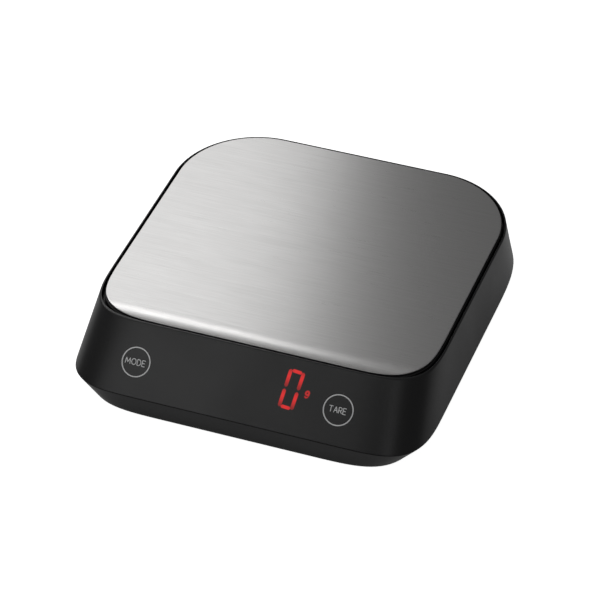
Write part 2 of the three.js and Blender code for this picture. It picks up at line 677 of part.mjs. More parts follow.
add('main_board', mainBoard(), 'board', panel);
add('display_filter', box(displayX, displayAlong, [filterBack, -DISPLAY.front]), 'redFilter', panel);
add('display_module', box(displayX, displayAlong, [-DISPLAY.back, filterBack - GAP]), 'displayBody', panel);
for (const [name, chip] of [['controller_chip', CONTROLLER], ['converter_chip', CONVERTER]]) {
  add(name, box(chip.x, chip.along, [partsFace - chip.height, partsFace]), 'chip', panel);
}

const connectorEnd = partsFace - CONNECTOR.depth;

function connector({ halfWidth }) {
  const shell = box([-halfWidth, halfWidth], CONNECTOR.along, [connectorEnd, partsFace]);
  const keyHalf = halfWidth - CONNECTOR.wall;
  const key = box([-keyHalf, keyHalf], CONNECTOR.keyAlong, [connectorEnd - 1, partsFace - CONNECTOR.wall]);
  return cut(shell, key);
}

add('load_cell_connector', connector(CABLE_PLUG), 'connector', panel).position.x = CABLE_PLUG.x;
add('battery_connector', connector(BATTERY_PLUG), 'connector', panel).position.x = BATTERY_PLUG.x;

for (const [name, x] of [['touch_spring_mode', TOUCH.modeX], ['touch_spring_tare', TOUCH.tareX]]) {
  const spring = coil({
    bottom: TOUCH.wire + GAP - BOARD.front,
    top: -WALL - GAP - TOUCH.wire,
    bottomRadius: TOUCH.radius * TOUCH.taper,
    topRadius: TOUCH.radius,
    turns: TOUCH.turns,
    wireRadius: TOUCH.wire,
    stepsPerTurn: 10,
  });
  add(name, spring, 'spring', panel).position.set(x, TOUCH.along, 0);
}

const boardHead = 1.5;
const boardScrew = screw({ headRadius: 2.3, headHeight: boardHead, shankRadius: 1.1, length: 6.5 });
for (const [name, x] of [['board_screw_left', -BOARD.screwX], ['board_screw_right', BOARD.screwX]]) {
  add(name, boardScrew, 'screwSteel', panel).position.set(x, BOARD.screwAlong, partsFace - boardHead);
}

// ---- Wires ----

// The middle of a connector's open end, and a point further out in the same direction.
function plugEnd(x, out) {
  return new THREE.Vector3(x, WIRE_ALONG, connectorEnd - out).applyMatrix4(panel.matrix).toArray();
}

add('load_cell_cable', wire([
  [-10, PLATFORM.centreY, 19.5],
  [-12, 5, 20],
  [-13, 0.5, 17.5],
  [-16, -8, 9.5],
  [-22, -22, 6],
  [-30, -40, 5.8],
  plugEnd(CABLE_PLUG.x, 2),
  plugEnd(CABLE_PLUG.x, GAP),
], CABLE_RADIUS, 26, 6), 'greyCable');

const outsideBox = BATTERY_BOX.halfWidth + BATTERY_BOX.wall + GAP;
const redX = BATTERY_PLUG.x - BATTERY_PLUG.wireOffset;
const blackX = BATTERY_PLUG.x + BATTERY_PLUG.wireOffset;
add('battery_wire_red', wire([
  [-outsideBox, cellRowY[2], 9],
  [-outsideBox - 6, cellRowY[2] - 4, 8],
  [-42, 36, 5.5],
  [-44, 8, 5],
  [-42, -14, 7],
  [-34, -26, 11],
  [-20, -34, 11],
  [0, -44, 7],
  plugEnd(redX, 2),
  plugEnd(redX, GAP),
], WIRE_RADIUS, 34, 6), 'redWire');
add('battery_wire_black', wire([
  [outsideBox, cellRowY[0], 9],
  [outsideBox + 6, cellRowY[0] - 5, 8],
  [46, 14, 5],
  [44, -14, 5],
  [32, -34, 5],
  plugEnd(blackX, 2),
  plugEnd(blackX, GAP),
], WIRE_RADIUS, 28, 6), 'blackWire');

export default scale;
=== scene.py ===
"""A compact kitchen scale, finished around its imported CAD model.

Lengths are written in millimetres and turned into metres where a mesh is made. The front, with the
display, is -Y, and the underside of the feet is z = 0.
"""
import math

import bpy
import numpy as np
from mathutils import Matrix, Vector


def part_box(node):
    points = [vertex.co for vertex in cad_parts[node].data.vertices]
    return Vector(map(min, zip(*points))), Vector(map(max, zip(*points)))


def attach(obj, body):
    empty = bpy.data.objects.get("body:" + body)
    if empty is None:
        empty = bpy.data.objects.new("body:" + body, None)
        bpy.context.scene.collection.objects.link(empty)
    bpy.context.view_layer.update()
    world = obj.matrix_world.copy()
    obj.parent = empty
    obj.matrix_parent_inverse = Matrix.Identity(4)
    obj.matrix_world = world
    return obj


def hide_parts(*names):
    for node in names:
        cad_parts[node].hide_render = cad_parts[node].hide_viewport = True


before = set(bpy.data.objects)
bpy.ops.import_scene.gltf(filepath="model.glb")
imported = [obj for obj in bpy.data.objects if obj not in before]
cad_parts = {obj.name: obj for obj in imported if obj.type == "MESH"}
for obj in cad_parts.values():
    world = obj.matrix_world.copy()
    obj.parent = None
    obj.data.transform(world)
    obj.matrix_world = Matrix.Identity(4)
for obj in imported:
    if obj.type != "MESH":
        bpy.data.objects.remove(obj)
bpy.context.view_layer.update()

# ---------------------------------------------------------------- sizes, in millimetres

MM = 0.001
GAP = 0.3


def low_z(node_name):
    """Height of a CAD node's lowest point."""
    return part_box(node_name)[0][2] / MM


def high_z(node_name):
    """Height of a CAD node's highest point."""
    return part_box(node_name)[1][2] / MM


PLATE_TOP = high_z("platform_plate")
PLATFORM = dict(
    half=70.0, front=-54.1, back=73.5, front_radius=34.0, front_power=4.2, back_radius=33.7, power=2.0,
)
SHEET = 0.8
ROLL_LENGTH = 7.5
ROLL_DROP = 1.6
ROLL_RADIUS = (ROLL_LENGTH**2 + ROLL_DROP**2) / (2 * ROLL_DROP)
CARRIER_THICK = 2.8
CARRIER_LIP = 0.5
PLATFORM_Y = (PLATFORM["front"] + PLATFORM["back"]) / 2

RIM = dict(
    half=72.15, front=-56.45, back=75.55, front_radius=36.2, front_power=4.2, back_radius=35.9, power=2.0,
)
CREASE = dict(half=75.65, front=-76.6, back=76.6, front_radius=34.4, back_radius=58.6, power=3.86)
BOTTOM = dict(half=68.3, front=-76.4, back=69.1, front_radius=37.9, back_radius=37.9, power=3.86)
RIM_Z = PLATE_TOP - 0.9
CREASE_Z = 10.35
BASE_Z = low_z("base_housing")
RIM_LAND = 0.64
# How far below its top and how far in from its wall the rim is, round its crowned outer edge.
RIM_CROWN = ((0.32, 0.0), (0.2, 0.08), (0.12, 0.2), (0.06, 0.35))
WALL = 2.2
SLANTED_WALL = 3.0
CORNER_EASE = CREASE["power"] / 2
FLOOR_TOP = 3.4
DECK_LOW = 26.4
DECK_TOP = 28.6
SEAM_EDGE = 0.1

# ---------------------------------------------------------------- surfaces


def outline(shape, corner_steps=36, side_steps=12):
    """A rounded rectangle as an (n, 2) loop, counter-clockwise from its front left corner.

    Each corner is a quarter of |x|^p + |y|^p = r^p, drawn as (cos^(2/p), sin^(2/p)) times r. Its
    angles are eased, s^k / (s^k + (1 - s)^k), so that the flat ends of a full corner stay smooth.
    """
    half, front, back = shape["half"], shape["front"], shape["back"]
    near, far, power = shape["front_radius"], shape["back_radius"], shape["power"]
    near_power = shape.get("front_power", power)
    step = np.linspace(0, 1, corner_steps + 1)
    ease = step**CORNER_EASE / (step**CORNER_EASE + (1 - step) ** CORNER_EASE)
    turn = ease * math.pi / 2
    bulge = lambda value, bend: np.sign(value) * np.abs(value) ** (2 / bend)
    quarter = lambda x, y, radius, bend, start: np.c_[
        x + radius * bulge(np.cos(start + turn), bend), y + radius * bulge(np.sin(start + turn), bend)
    ]
    corners = [
        quarter(near - half, front + near, near, near_power, math.pi),
        quarter(half - near, front + near, near, near_power, 1.5 * math.pi),
        quarter(half - far, back - far, far, power, 0),
        quarter(far - half, back - far, far, power, 0.5 * math.pi),
    ]
    inner = np.linspace(0, 1, side_steps + 2)[1:-1, None]
    sides = [
        corners[i][-1] * (1 - inner) + corners[(i + 1) % 4][0] * inner for i in range(4)
    ]
    return np.vstack([part for pair in zip(corners, sides) for part in pair])


def inset(shape, side, front=None):
    """The same rounded rectangle with its edge moved inward."""
    return dict(
        shape,
        half=shape["half"] - side,
        front=shape["front"] + (side if front is None else front),
        back=shape["back"] - side,
        front_radius=max(shape["front_radius"] - side, 0.6),
        back_radius=max(shape["back_radius"] - side, 0.6),
    )


def level(loop, z):
    """A flat loop at height z, as (n, 3)."""
    return np.c_[loop, np.full(len(loop), float(z))]


def wall_loop(low, low_z, high, high_z, z, side=0.0, front=None):
    """The loop at height z of the ruled wall between two outlines, moved inward by side."""
    share = (z - low_z) / (high_z - low_z)
    loop = outline(inset(low, side, front)) * (1 - share) + outline(inset(high, side, front)) * share
    return level(loop, z)


def upper_wall(z, side=0.0, front=None):
    return wall_loop(CREASE, CREASE_Z, RIM, RIM_Z, z, side, front)


def lower_wall(z, side=0.0, front=None):
    return wall_loop(BOTTOM, BASE_Z, CREASE, CREASE_Z, z, side, front)


def shrunk(loop, share, centre=(0.0, PLATFORM_Y)):
    """A loop drawn in towards a centre, keeping its height."""
    middle = np.array([*centre, 0.0])
    flat = np.array([1.0, 1.0, 0.0])
    return loop - (loop - middle) * flat * share


def rings(loops, ends="fan"):
    """Vertices and faces through equally long loops. ends: fan closes both ends, ring joins last to first."""
    loops = np.asarray(loops, float)
    count, length = loops.shape[:2]
    here = np.arange(length)
    nxt = (here + 1) % length
    rows = np.arange(count if ends == "ring" else count - 1)
    above = (rows + 1) % count
    quads = np.stack([
        rows[:, None] * length + here,
        rows[:, None] * length + nxt,
        above[:, None] * length + nxt,
        above[:, None] * length + here,
    ], -1).reshape(-1, 4)
    points = loops.reshape(-1, 3)
    triangles = np.empty((0, 3), int)
    if ends == "fan":
        low, high = len(points), len(points) + 1
        last = (count - 1) * length
        points = np.vstack([points, loops[0].mean(0), loops[-1].mean(0)])
        triangles = np.vstack([
            np.c_[np.full(length, low), nxt, here],
            np.c_[np.full(length, high), last + here, last + nxt],
        ])
    return points, quads, triangles


def circle_angles(sides):
    """Angles of a circle's points."""
    return np.arange(sides) * 2 * math.pi / sides


def revolved(profile, centre=(0, 0), sides=48):
    """A profile of (radius, z) turned about the vertical through centre. It starts and ends on the axis."""
    profile = np.asarray(profile, float)
    angle = circle_angles(sides)
    body = profile[1:-1]
    loops = np.stack([
        centre[0] + body[:, :1] * np.cos(angle),
        centre[1] + body[:, :1] * np.sin(angle),
        np.repeat(body[:, 1:], sides, 1),
    ], -1)
    points, quads, triangles = rings(loops)
    points[-2] = (*centre, profile[0, 1])
    points[-1] = (*centre, profile[-1, 1])
    return points, quads, triangles


def swept(path, radius, sides=12):
    """A round section carried along a path, square to it, by turning one frame as little as possible."""
    path = np.asarray(path, float)
    along = np.gradient(path, axis=0)
    along /= np.linalg.norm(along, axis=1)[:, None]
    across = np.zeros_like(along)
    start = np.cross(along[0], (0.0, 0.0, 1.0))
    if np.linalg.norm(start) < 0.1:
        start = np.cross(along[0], (0.0, 1.0, 0.0))
    across[0] = start / np.linalg.norm(start)
    for i in range(1, len(path)):
        carried = across[i - 1] - along[i] * across[i - 1].dot(along[i])
        across[i] = carried / np.linalg.norm(carried)
    third = np.cross(along, across)
    angle = circle_angles(sides)
    radius = np.broadcast_to(radius, len(path))[:, None, None]
    loops = path[:, None] + radius * (
        across[:, None] * np.cos(angle)[:, None] + third[:, None] * np.sin(angle)[:, None]
    )
    return rings(loops)


def smooth_path(points, count):
    """A centripetal Catmull-Rom curve through a few points, as count points.

    Between two knots it is the cubic with tangents from the three chords around them, each chord
    weighted by the square root of its length.
    """
    knots = np.asarray(points, float)
    knots = np.vstack([2 * knots[0] - knots[1], knots, 2 * knots[-1] - knots[-2]])
    where = np.linspace(0, len(knots) - 3 - 1e-6, count)
    i = where.astype(int)
    t = (where - i)[:, None]
    a, b, c, d = knots[i], knots[i + 1], knots[i + 2], knots[i + 3]
    chords = ((a, b), (b, c), (c, d))
    before, here, after = (np.sqrt(np.linalg.norm(q - p, axis=1))[:, None] for p, q in chords)
    leave = ((b - a) / before - (c - a) / (before + here) + (c - b) / here) * here
    reach = ((c - b) / here - (d - b) / (here + after) + (d - c) / after) * here
    return b + leave * t + (3 * (c - b) - 2 * leave - reach) * t**2 + (2 * (b - c) + leave + reach) * t**3


def around(middle, half):
    """The two ends of a length, from its middle."""
    return middle - half, middle + half


def block(x, y, z, edge=0.25, corner=None):
    """A box with its upright edges rounded by corner and its level edges by edge."""
    corner = corner or edge
    half, depth = (x[1] - x[0]) / 2, (y[1] - y[0]) / 2
    shape = dict(half=half, front=-depth, back=depth, front_radius=corner, back_radius=corner, power=2.0)
    turn = np.linspace(0, math.pi / 2, 4)
    side = edge * (1 - np.sin(turn))
    lift = edge * (1 - np.cos(turn))
    heights = np.r_[z[0] + lift, z[1] - lift[::-1]]
    sides = np.r_[side, side[::-1]]
    loops = [level(outline(inset(shape, s), 6, 0), h) for s, h in zip(sides, heights)]
    points, quads, triangles = rings(loops)
    return points + ((x[0] + x[1]) / 2, (y[0] + y[1]) / 2, 0), quads, triangles


def joined(shells):
    """Several (points, quads, triangles) as one."""
    points, quads, triangles, used = [], [], [], 0
    for shell in shells:
        points.append(shell[0])
        quads.append(shell[1] + used)
        triangles.append(shell[2] + used)
        used += len(shell[0])
    return np.vstack(points), np.vstack(quads), np.vstack(triangles)


def placed(shell, matrix):
    """A shell moved by a 4 x 4 matrix, in millimetres."""
    matrix = np.asarray(matrix)
    return shell[0] @ matrix[:3, :3].T + matrix[:3, 3], shell[1], shell[2]


def signed_volume(points, quads, triangles):
    """Sum of a . (b x c) / 6 over the faces, positive where they face outward."""
    corners = np.vstack([quads[:, [0, 1, 2]], quads[:, [0, 2, 3]], triangles])
    a, b, c = points[corners[:, 0]], points[corners[:, 1]], points[corners[:, 2]]
    return np.einsum("ij,ij->i", a, np.cross(b, c)).sum() / 6


def new_object(name, data):
    """A Blender object that shows some data, linked to the scene."""
    made = bpy.data.objects.new(name, data)
    bpy.context.scene.collection.objects.link(made)
    return made


def mesh_object(name, shells, material=None, sharp=32):
    """A Blender object from shells in millimetres, each turned to face outward."""
    fixed = []
    for points, quads, triangles in shells:
        if signed_volume(points - points.mean(0), quads, triangles) < 0:
            quads, triangles = quads[:, ::-1], triangles[:, ::-1]
        fixed.append((points, quads, triangles))
    points, quads, triangles = joined(fixed)
    mesh = bpy.data.meshes.new(name)
    mesh.vertices.add(len(points))
    mesh.vertices.foreach_set("co", (points * MM).ravel())
    mesh.loops.add(quads.size + triangles.size)
    mesh.loops.foreach_set("vertex_index", np.r_[quads.ravel(), triangles.ravel()].astype(np.int32))
    sizes = np.r_[np.full(len(quads), 4), np.full(len(triangles), 3)]
    mesh.polygons.add(len(sizes))
    mesh.polygons.foreach_set("loop_start", (np.cumsum(sizes) - sizes).astype(np.int32))
    mesh.update(calc_edges=True)
    mesh.validate()
    finish_normals(mesh, sharp)
    if material:
        mesh.materials.append(material)
    return new_object(name, mesh)


def finish_normals(mesh, sharp):
    """Smooth shading, with edges sharper than the given angle kept crisp."""
    mesh.shade_smooth()
    mesh.set_sharp_from_angle(angle=math.radians(sharp))


def shaped(thing, steps, sharp=32):
    """Joins and cuts a closed piece with closed shells: steps are (operation, shells) pairs."""
    for operation, shells in steps:
        tool = mesh_object("tool", shells)
        change = thing.modifiers.new("change", "BOOLEAN")
        change.operation = operation
        change.solver = "EXACT"
        change.use_self = len(shells) > 1
        change.object = tool
        evaluated = thing.evaluated_get(bpy.context.evaluated_depsgraph_get())
        result = bpy.data.meshes.new_from_object(evaluated)
        thing.modifiers.clear()
        thing.data = result
        bpy.data.objects.remove(tool)
    finish_normals(thing.data, sharp)
    return thing


def settle(thing, body, slot, *replaced):
    """Says which body carries a piece and hides the CAD nodes it stands for. Its slot argument is not used."""
    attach(thing, body)
    if replaced:
        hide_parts(*replaced)
    return thing


# ---------------------------------------------------------------- node groups


def new_group(name, inputs, outputs):
    """An empty shader group with number inputs (name: default) and outputs (name: socket type)."""
    tree = bpy.data.node_groups.new(name, "ShaderNodeTree")
    for label, default in inputs.items():
        socket = tree.interface.new_socket(label, in_out="INPUT", socket_type="NodeSocketFloat")
        socket.default_value = default
    for label, kind in outputs.items():
        tree.interface.new_socket(label, in_out="OUTPUT", socket_type=kind)
    return tree, tree.nodes.new("NodeGroupInput"), tree.nodes.new("NodeGroupOutput")


def node(tree, kind, links=(), **settings):
    """A node with its settings, and its inputs set to numbers or linked to sockets by name or index."""
    made = tree.nodes.new(kind)
    for key, value in settings.items():
        setattr(made, key, value)
    for key, value in dict(links).items():
        if isinstance(value, bpy.types.NodeSocket):
            tree.links.new(value, made.inputs[key])
        else:
            made.inputs[key].default_value = value
    return made


def math_node(tree, operation, a, b=0.0):
    return node(tree, "ShaderNodeMath", {0: a, 1: b}, operation=operation).outputs[0]


def spread(tree, value, low, high, new_low, new_high):
    """A value range mapped onto another and held inside it."""
    links = {"Value": value, "From Min": low, "From Max": high, "To Min": new_low, "To Max": new_high}
    return node(tree, "ShaderNodeMapRange", links).outputs[0]


def grain_group():
    """Even moulded grain: fine and finer noise in object space, as a height and a soft shade."""
    tree, given, out = new_group(
        "moulded_grain", {"Grain per mm": 4.0}, {"Height": "NodeSocketFloat", "Shade": "NodeSocketFloat"}
    )
    place = node(tree, "ShaderNodeTexCoord").outputs["Object"]
    scale = math_node(tree, "MULTIPLY", given.outputs[0], 1000.0)
    links = {"Vector": place, "Scale": scale, "Detail": 3.0, "Roughness": 0.6}
    fine = node(tree, "ShaderNodeTexNoise", links)
    broad_scale = math_node(tree, "MULTIPLY", scale, 0.02)
    broad = node(tree, "ShaderNodeTexNoise", {"Vector": place, "Scale": broad_scale, "Detail": 2.0})
    tree.links.new(fine.outputs[0], out.inputs["Height"])
    tree.links.new(broad.outputs[0], out.inputs["Shade"])
    return tree


def brushing_group():
    """Long scratches along X: noise squeezed across the strokes, in two finenesses."""
    tree, given, out = new_group(
        "brushing",
        {"Strokes per mm": 6.0, "Stroke length mm": 14.0},
        {"Height": "NodeSocketFloat", "Shade": "NodeSocketFloat"},
    )
    place = node(tree, "ShaderNodeTexCoord").outputs["Object"]
    across = math_node(tree, "MULTIPLY", given.outputs[0], 1000.0)
    along = math_node(tree, "DIVIDE", 1000.0, given.outputs[1])
    parts = []
    for factor in (1.0, 0.4):
        squeeze = node(tree, "ShaderNodeCombineXYZ", {
            0: math_node(tree, "MULTIPLY", along, factor),
            1: math_node(tree, "MULTIPLY", across, factor),
            2: math_node(tree, "MULTIPLY", across, factor),
        }).outputs[0]
        stroke_place = node(tree, "ShaderNodeVectorMath", {0: place, 1: squeeze}, operation="MULTIPLY")
        links = {"Vector": stroke_place.outputs[0], "Scale": 1.0, "Detail": 2.0, "Roughness": 0.65}
        parts.append(node(tree, "ShaderNodeTexNoise", links).outputs[0])
    tree.links.new(parts[0], out.inputs["Height"])
    shares = [math_node(tree, "MULTIPLY", part, share) for part, share in zip(parts, (0.6, 0.4))]
    both = math_node(tree, "ADD", *shares)
    tree.links.new(both, out.inputs["Shade"])
    return tree


def handling_group():
    """Large soft patches, as hands and wiping leave them, from 0 to 1."""
    tree, given, out = new_group("handling", {"Patch mm": 30.0}, {"Patches": "NodeSocketFloat"})
    place = node(tree, "ShaderNodeTexCoord").outputs["Object"]
    scale = math_node(tree, "DIVIDE", 1000.0, given.outputs[0])
    links = {"Vector": place, "Scale": scale, "Detail": 3.0, "Distortion": 0.6}
    noise = node(tree, "ShaderNodeTexNoise", links)
    tree.links.new(spread(tree, noise.outputs[0], 0.35, 0.68, 0.0, 1.0), out.inputs[0])
    return tree


GRAIN = grain_group()
BRUSHING = brushing_group()
HANDLING = handling_group()

# ---------------------------------------------------------------- materials


# The part of a noise's range that its values fill.
NOISE_SPAN = (0.3, 0.7)


def shader_of(tree):
    """A material's one Principled shader."""
    return next(n for n in tree.nodes if n.type == "BSDF_PRINCIPLED")


def new_material(name, **principled):
    """A material with one Principled shader whose named sockets are set, its node tree and the shader."""
    material = bpy.data.materials.new(name)
    material.use_nodes = True
    shader = shader_of(material.node_tree)
    for key, value in principled.items():
        shader.inputs[key.replace("_", " ")].default_value = value
    return material, material.node_tree, shader


def use_group(tree, group, **values):
    made = node(tree, "ShaderNodeGroup", node_tree=group)
    for key, value in values.items():
        made.inputs[key.replace("_", " ")].default_value = value
    return made


def tint(tree, factor, dark, light):
    """Two colours mixed by a factor."""
    mix = node(tree, "ShaderNodeMix", data_type="RGBA")
    tree.links.new(factor, mix.inputs[0])
    colour_inputs = [s for s in mix.inputs if s.type == "RGBA"]
    colour_inputs[0].default_value = (*dark, 1)
    colour_inputs[1].default_value = (*light, 1)
    return next(s for s in mix.outputs if s.type == "RGBA")


def bump(tree, shader, height, distance, strength=1.0):
    """Relief of the given depth in millimetres on a shader."""
    made = node(tree, "ShaderNodeBump", {"Height": height, "Strength": strength, "Distance": distance * MM})
    tree.links.new(made.outputs[0], shader.inputs["Normal"])


def moulded(name, dark, light, rough=(0.4, 0.5), grain=4.0, depth=0.012, patch=40.0, **sockets):
    """Moulded plastic or rubber: grain relief, slight shade and roughness variation."""
    material, tree, shader = new_material(name, **sockets)
    texture = use_group(tree, GRAIN, Grain_per_mm=grain)
    hands = use_group(tree, HANDLING, Patch_mm=patch)
    tree.links.new(tint(tree, texture.outputs["Shade"], dark, light), shader.inputs["Base Color"])
    tree.links.new(spread(tree, hands.outputs[0], 0.0, 1.0, *rough), shader.inputs["Roughness"])
    bump(tree, shader, texture.outputs["Height"], depth)
    return material


def brushed(name, dark, light, rough=(0.24, 0.34), strokes=6.0, length=14.0, depth=0.0016, **sockets):
    """Brushed, drawn or milled metal: strokes along X in colour, roughness and relief."""
    material, tree, shader = new_material(name, Metallic=1.0, **sockets)
    stroke = use_group(tree, BRUSHING, Strokes_per_mm=strokes, Stroke_length_mm=length)
    shade = stroke.outputs["Shade"]
    strong = spread(tree, shade, *NOISE_SPAN, 0.0, 1.0)
    tree.links.new(tint(tree, strong, dark, light), shader.inputs["Base Color"])
    tree.links.new(spread(tree, shade, *NOISE_SPAN, rough[1], rough[0]), shader.inputs["Roughness"])
    bump(tree, shader, stroke.outputs["Height"], depth)
    return material


def lit_panel():
    """The casing's own plastic where the display glows through it, by the piece's glow attribute."""
    material = moulded("lit_panel", *CASING_SHADES, **CASING_FINISH)
    tree = material.node_tree
    shader = shader_of(tree)
    glow = node(tree, "ShaderNodeAttribute", attribute_name="glow")
    tree.links.new(tint(tree, glow.outputs["Fac"], (0, 0, 0), LED_RED), shader.inputs["Emission Color"])
    shader.inputs["Emission Strength"].default_value = 1.0
    return material


def brushed_sheet():
    """The platform's steel: its highlights stretch across the brushing, along the UV map's U axis."""
    material = brushed(
        "brushed_steel", (0.53, 0.525, 0.52), (0.64, 0.635, 0.63), rough=(0.27, 0.34), Anisotropic=0.4,
    )
    tree = material.node_tree
    shader = shader_of(tree)
    across = node(tree, "ShaderNodeTangent", direction_type="UV_MAP", uv_map="across_brushing")
    tree.links.new(across.outputs[0], shader.inputs["Tangent"])
    return material


def two_tone_wrap():
    """A cell's printed sleeve: plain blue-grey, with a copper-coloured band at the positive end."""
    material, tree, shader = new_material("cell_wrap", Coat_Weight=0.3, Coat_Roughness=0.12)
    band = node(tree, "ShaderNodeAttribute", attribute_name="band")
    hands = use_group(tree, HANDLING, Patch_mm=9.0)
    edge = spread(tree, band.outputs["Fac"], 0.47, 0.53, 0.0, 1.0)
    tree.links.new(tint(tree, edge, (0.02, 0.07, 0.12), (0.42, 0.17, 0.06)), shader.inputs["Base Color"])
    tree.links.new(spread(tree, hands.outputs[0], 0.0, 1.0, 0.24, 0.4), shader.inputs["Roughness"])
    return material


CASING_SHADES = ((0.0072, 0.0072, 0.0078), (0.0102, 0.0102, 0.0108))
CASING_FINISH = dict(rough=(0.29, 0.36))
LED_RED = (0.66, 0.012, 0.012)

STEEL = brushed_sheet()
BLACK = moulded("black_casing", *CASING_SHADES, **CASING_FINISH)
LIT = lit_panel()
CARRIER_BLACK = moulded("black_carrier", (0.004, 0.004, 0.0043), (0.007, 0.007, 0.0073), rough=(0.5, 0.6))
PRINT = moulded(
    "pale_print", (0.84, 0.845, 0.85), (0.92, 0.925, 0.93), rough=(0.5, 0.6), grain=7.0, depth=0.004,
)
RUBBER = moulded(
    "foot_rubber", (0.012, 0.012, 0.012), (0.02, 0.02, 0.02), rough=(0.75, 0.9), grain=3.0, depth=0.03,
)
ZINC = brushed(
    "plated_screw", (0.42, 0.42, 0.4), (0.56, 0.56, 0.54),
    rough=(0.3, 0.45), strokes=3.0, length=1.0, depth=0.002,
)
CELL_WRAP = two_tone_wrap()
SPRING = brushed(
    "nickel_spring", (0.55, 0.54, 0.5), (0.68, 0.67, 0.63), rough=(0.22, 0.32), strokes=4.0, length=2.0,
)
ALUMINIUM = brushed(
    "milled_aluminium", (0.6, 0.61, 0.62), (0.74, 0.75, 0.76),
    rough=(0.3, 0.42), strokes=2.5, length=5.0, depth=0.003,
)
SEALANT = moulded(
    "white_sealant", (0.68, 0.67, 0.62), (0.8, 0.79, 0.74), rough=(0.35, 0.55), grain=0.8, depth=0.05,
)
BOARD_GREEN = moulded(
    "board_mask", (0.008, 0.06, 0.02), (0.012, 0.085, 0.03), rough=(0.25, 0.35), grain=1.5, depth=0.02,
)
SOLDER = brushed("solder", (0.55, 0.55, 0.54), (0.7, 0.7, 0.69), rough=(0.2, 0.35), strokes=3.0, length=1.0)
FILTER_RED = moulded(
    "red_filter", (0.12, 0.004, 0.004), (0.16, 0.006, 0.006), rough=(0.12, 0.2), grain=1.0, depth=0.002,
)
DISPLAY_BODY = moulded("display_body", (0.02, 0.02, 0.022), (0.03, 0.03, 0.032))
SEGMENT = moulded("segment_resin", (0.5, 0.42, 0.4), (0.6, 0.5, 0.47), rough=(0.3, 0.4), grain=2.0)
CHIP = moulded(
    "chip_resin", (0.012, 0.012, 0.012), (0.02, 0.02, 0.02), rough=(0.45, 0.6), grain=5.0, depth=0.02,
)
NYLON = moulded("connector_nylon", (0.62, 0.59, 0.48), (0.7, 0.67, 0.56), rough=(0.35, 0.45), grain=3.0)
GREY_CABLE = moulded("grey_cable", (0.2, 0.205, 0.21), (0.27, 0.275, 0.28), grain=2.0)
WIRE = dict(rough=(0.35, 0.45), grain=3.0)
RED_WIRE = moulded("red_wire", (0.35, 0.012, 0.01), (0.45, 0.018, 0.014), **WIRE)
BLACK_WIRE = moulded("black_wire", (0.008, 0.008, 0.008), (0.014, 0.014, 0.014), **WIRE)

# ---------------------------------------------------------------- platform


def roll_height(y, depth):
    """Height of the sheet at y, this far below its top face: flat, then a round roll at the front."""
    radius = ROLL_RADIUS - depth
    reach = np.clip(PLATFORM["front"] + ROLL_LENGTH - y, 0, radius * 0.999)
    return PLATE_TOP - ROLL_RADIUS + np.sqrt(radius**2 - reach**2)


def draped(loop, depth):
    """A level loop laid on the rolled sheet, this far below its top face."""
    return np.c_[loop[:, :2], roll_height(loop[:, 1], depth)]


def sheet_loops(shape, depth, insets, shares):
    """Loops over one face of the sheet: moved inward from the edge, then drawn in to the middle."""
    near = [draped(outline(inset(shape, side)), depth) for side in insets]
    last = level(outline(inset(shape, insets[-1])), 0)
    return near + [draped(shrunk(last, share), depth) for share in shares]


def rounded_edge(edge, steps=4):
    """Pairs (inset, lift) round a quarter circle of radius edge, from the face towards the side."""
    turn = np.linspace(0, math.pi / 2, steps + 1)
    return list(zip(edge * (1 - np.sin(turn)), edge * (1 - np.cos(turn))))


def platform_plate():
    """The steel sheet: both faces as loops from the middle out, joined by a rounded edge."""
    edge = 0.14
    insets = np.r_[edge, 0.4, np.arange(0.9, 16, 0.6)]
    shares = np.linspace(0.08, 0.96, 12)
    side = rounded_edge(edge)[1:]
    top = sheet_loops(PLATFORM, 0, insets, shares)[::-1]
    upper = [draped(outline(inset(PLATFORM, s)), lift) for s, lift in side]
    lower = [draped(outline(inset(PLATFORM, s)), SHEET - lift) for s, lift in side[::-1]]
    under = sheet_loops(PLATFORM, SHEET, insets, shares)
    plate = mesh_object("platform_plate_sheet", [rings(top + upper + lower + under)], STEEL)
    mesh = plate.data
    flat = mesh.uv_layers.new(name="across_brushing")
    where = np.empty(len(mesh.vertices) * 3)
    mesh.vertices.foreach_get("co", where)
    corner = np.empty(len(mesh.loops), np.int32)
    mesh.loops.foreach_get("vertex_index", corner)
    flat.data.foreach_set("uv", where.reshape(-1, 3)[corner][:, [1, 0]].ravel())
    return settle(plate, "platform", "brushed_steel", "platform_plate")


def post(x, y, z, radius, sides=40, edge=0.0):
    """A round post or drill between two heights, with its ends rounded by edge."""
    low, high = z
    if edge == 0:
        return revolved([(0, low), (radius, low), (radius, high), (0, high)], (x, y), sides)
    side = np.array(rounded_edge(edge))
    bottom = np.c_[radius - side[:, 0], low + side[:, 1]]
    top = np.c_[radius - side[:, 0], high - side[:, 1]][::-1]
    return revolved(np.vstack([(0, low), bottom, top, (0, high)]), (x, y), sides)


BAR = dict(half=37.5, width=12.7, low=8.0, high=18.0, flexure_x=6.0, flexure_radius=3.6)
BAR_SCREWS = (19.0, 32.0)
BAR_HOLE = 2.3
HEAD_SINK = 3.9
SPACER_LOW = low_z("upper_spacer")
SPACER = 1.2
SPACER_LENGTH = 25
BOSS_LOW = SPACER_LOW + SPACER + GAP
BOSS_X = (12.5, 38.0)
BOSS_HALF = 6.5
CARRIER_LOW = PLATE_TOP - SHEET - GAP - CARRIER_THICK
CARRIER_SCREW_SEAT = 2.4


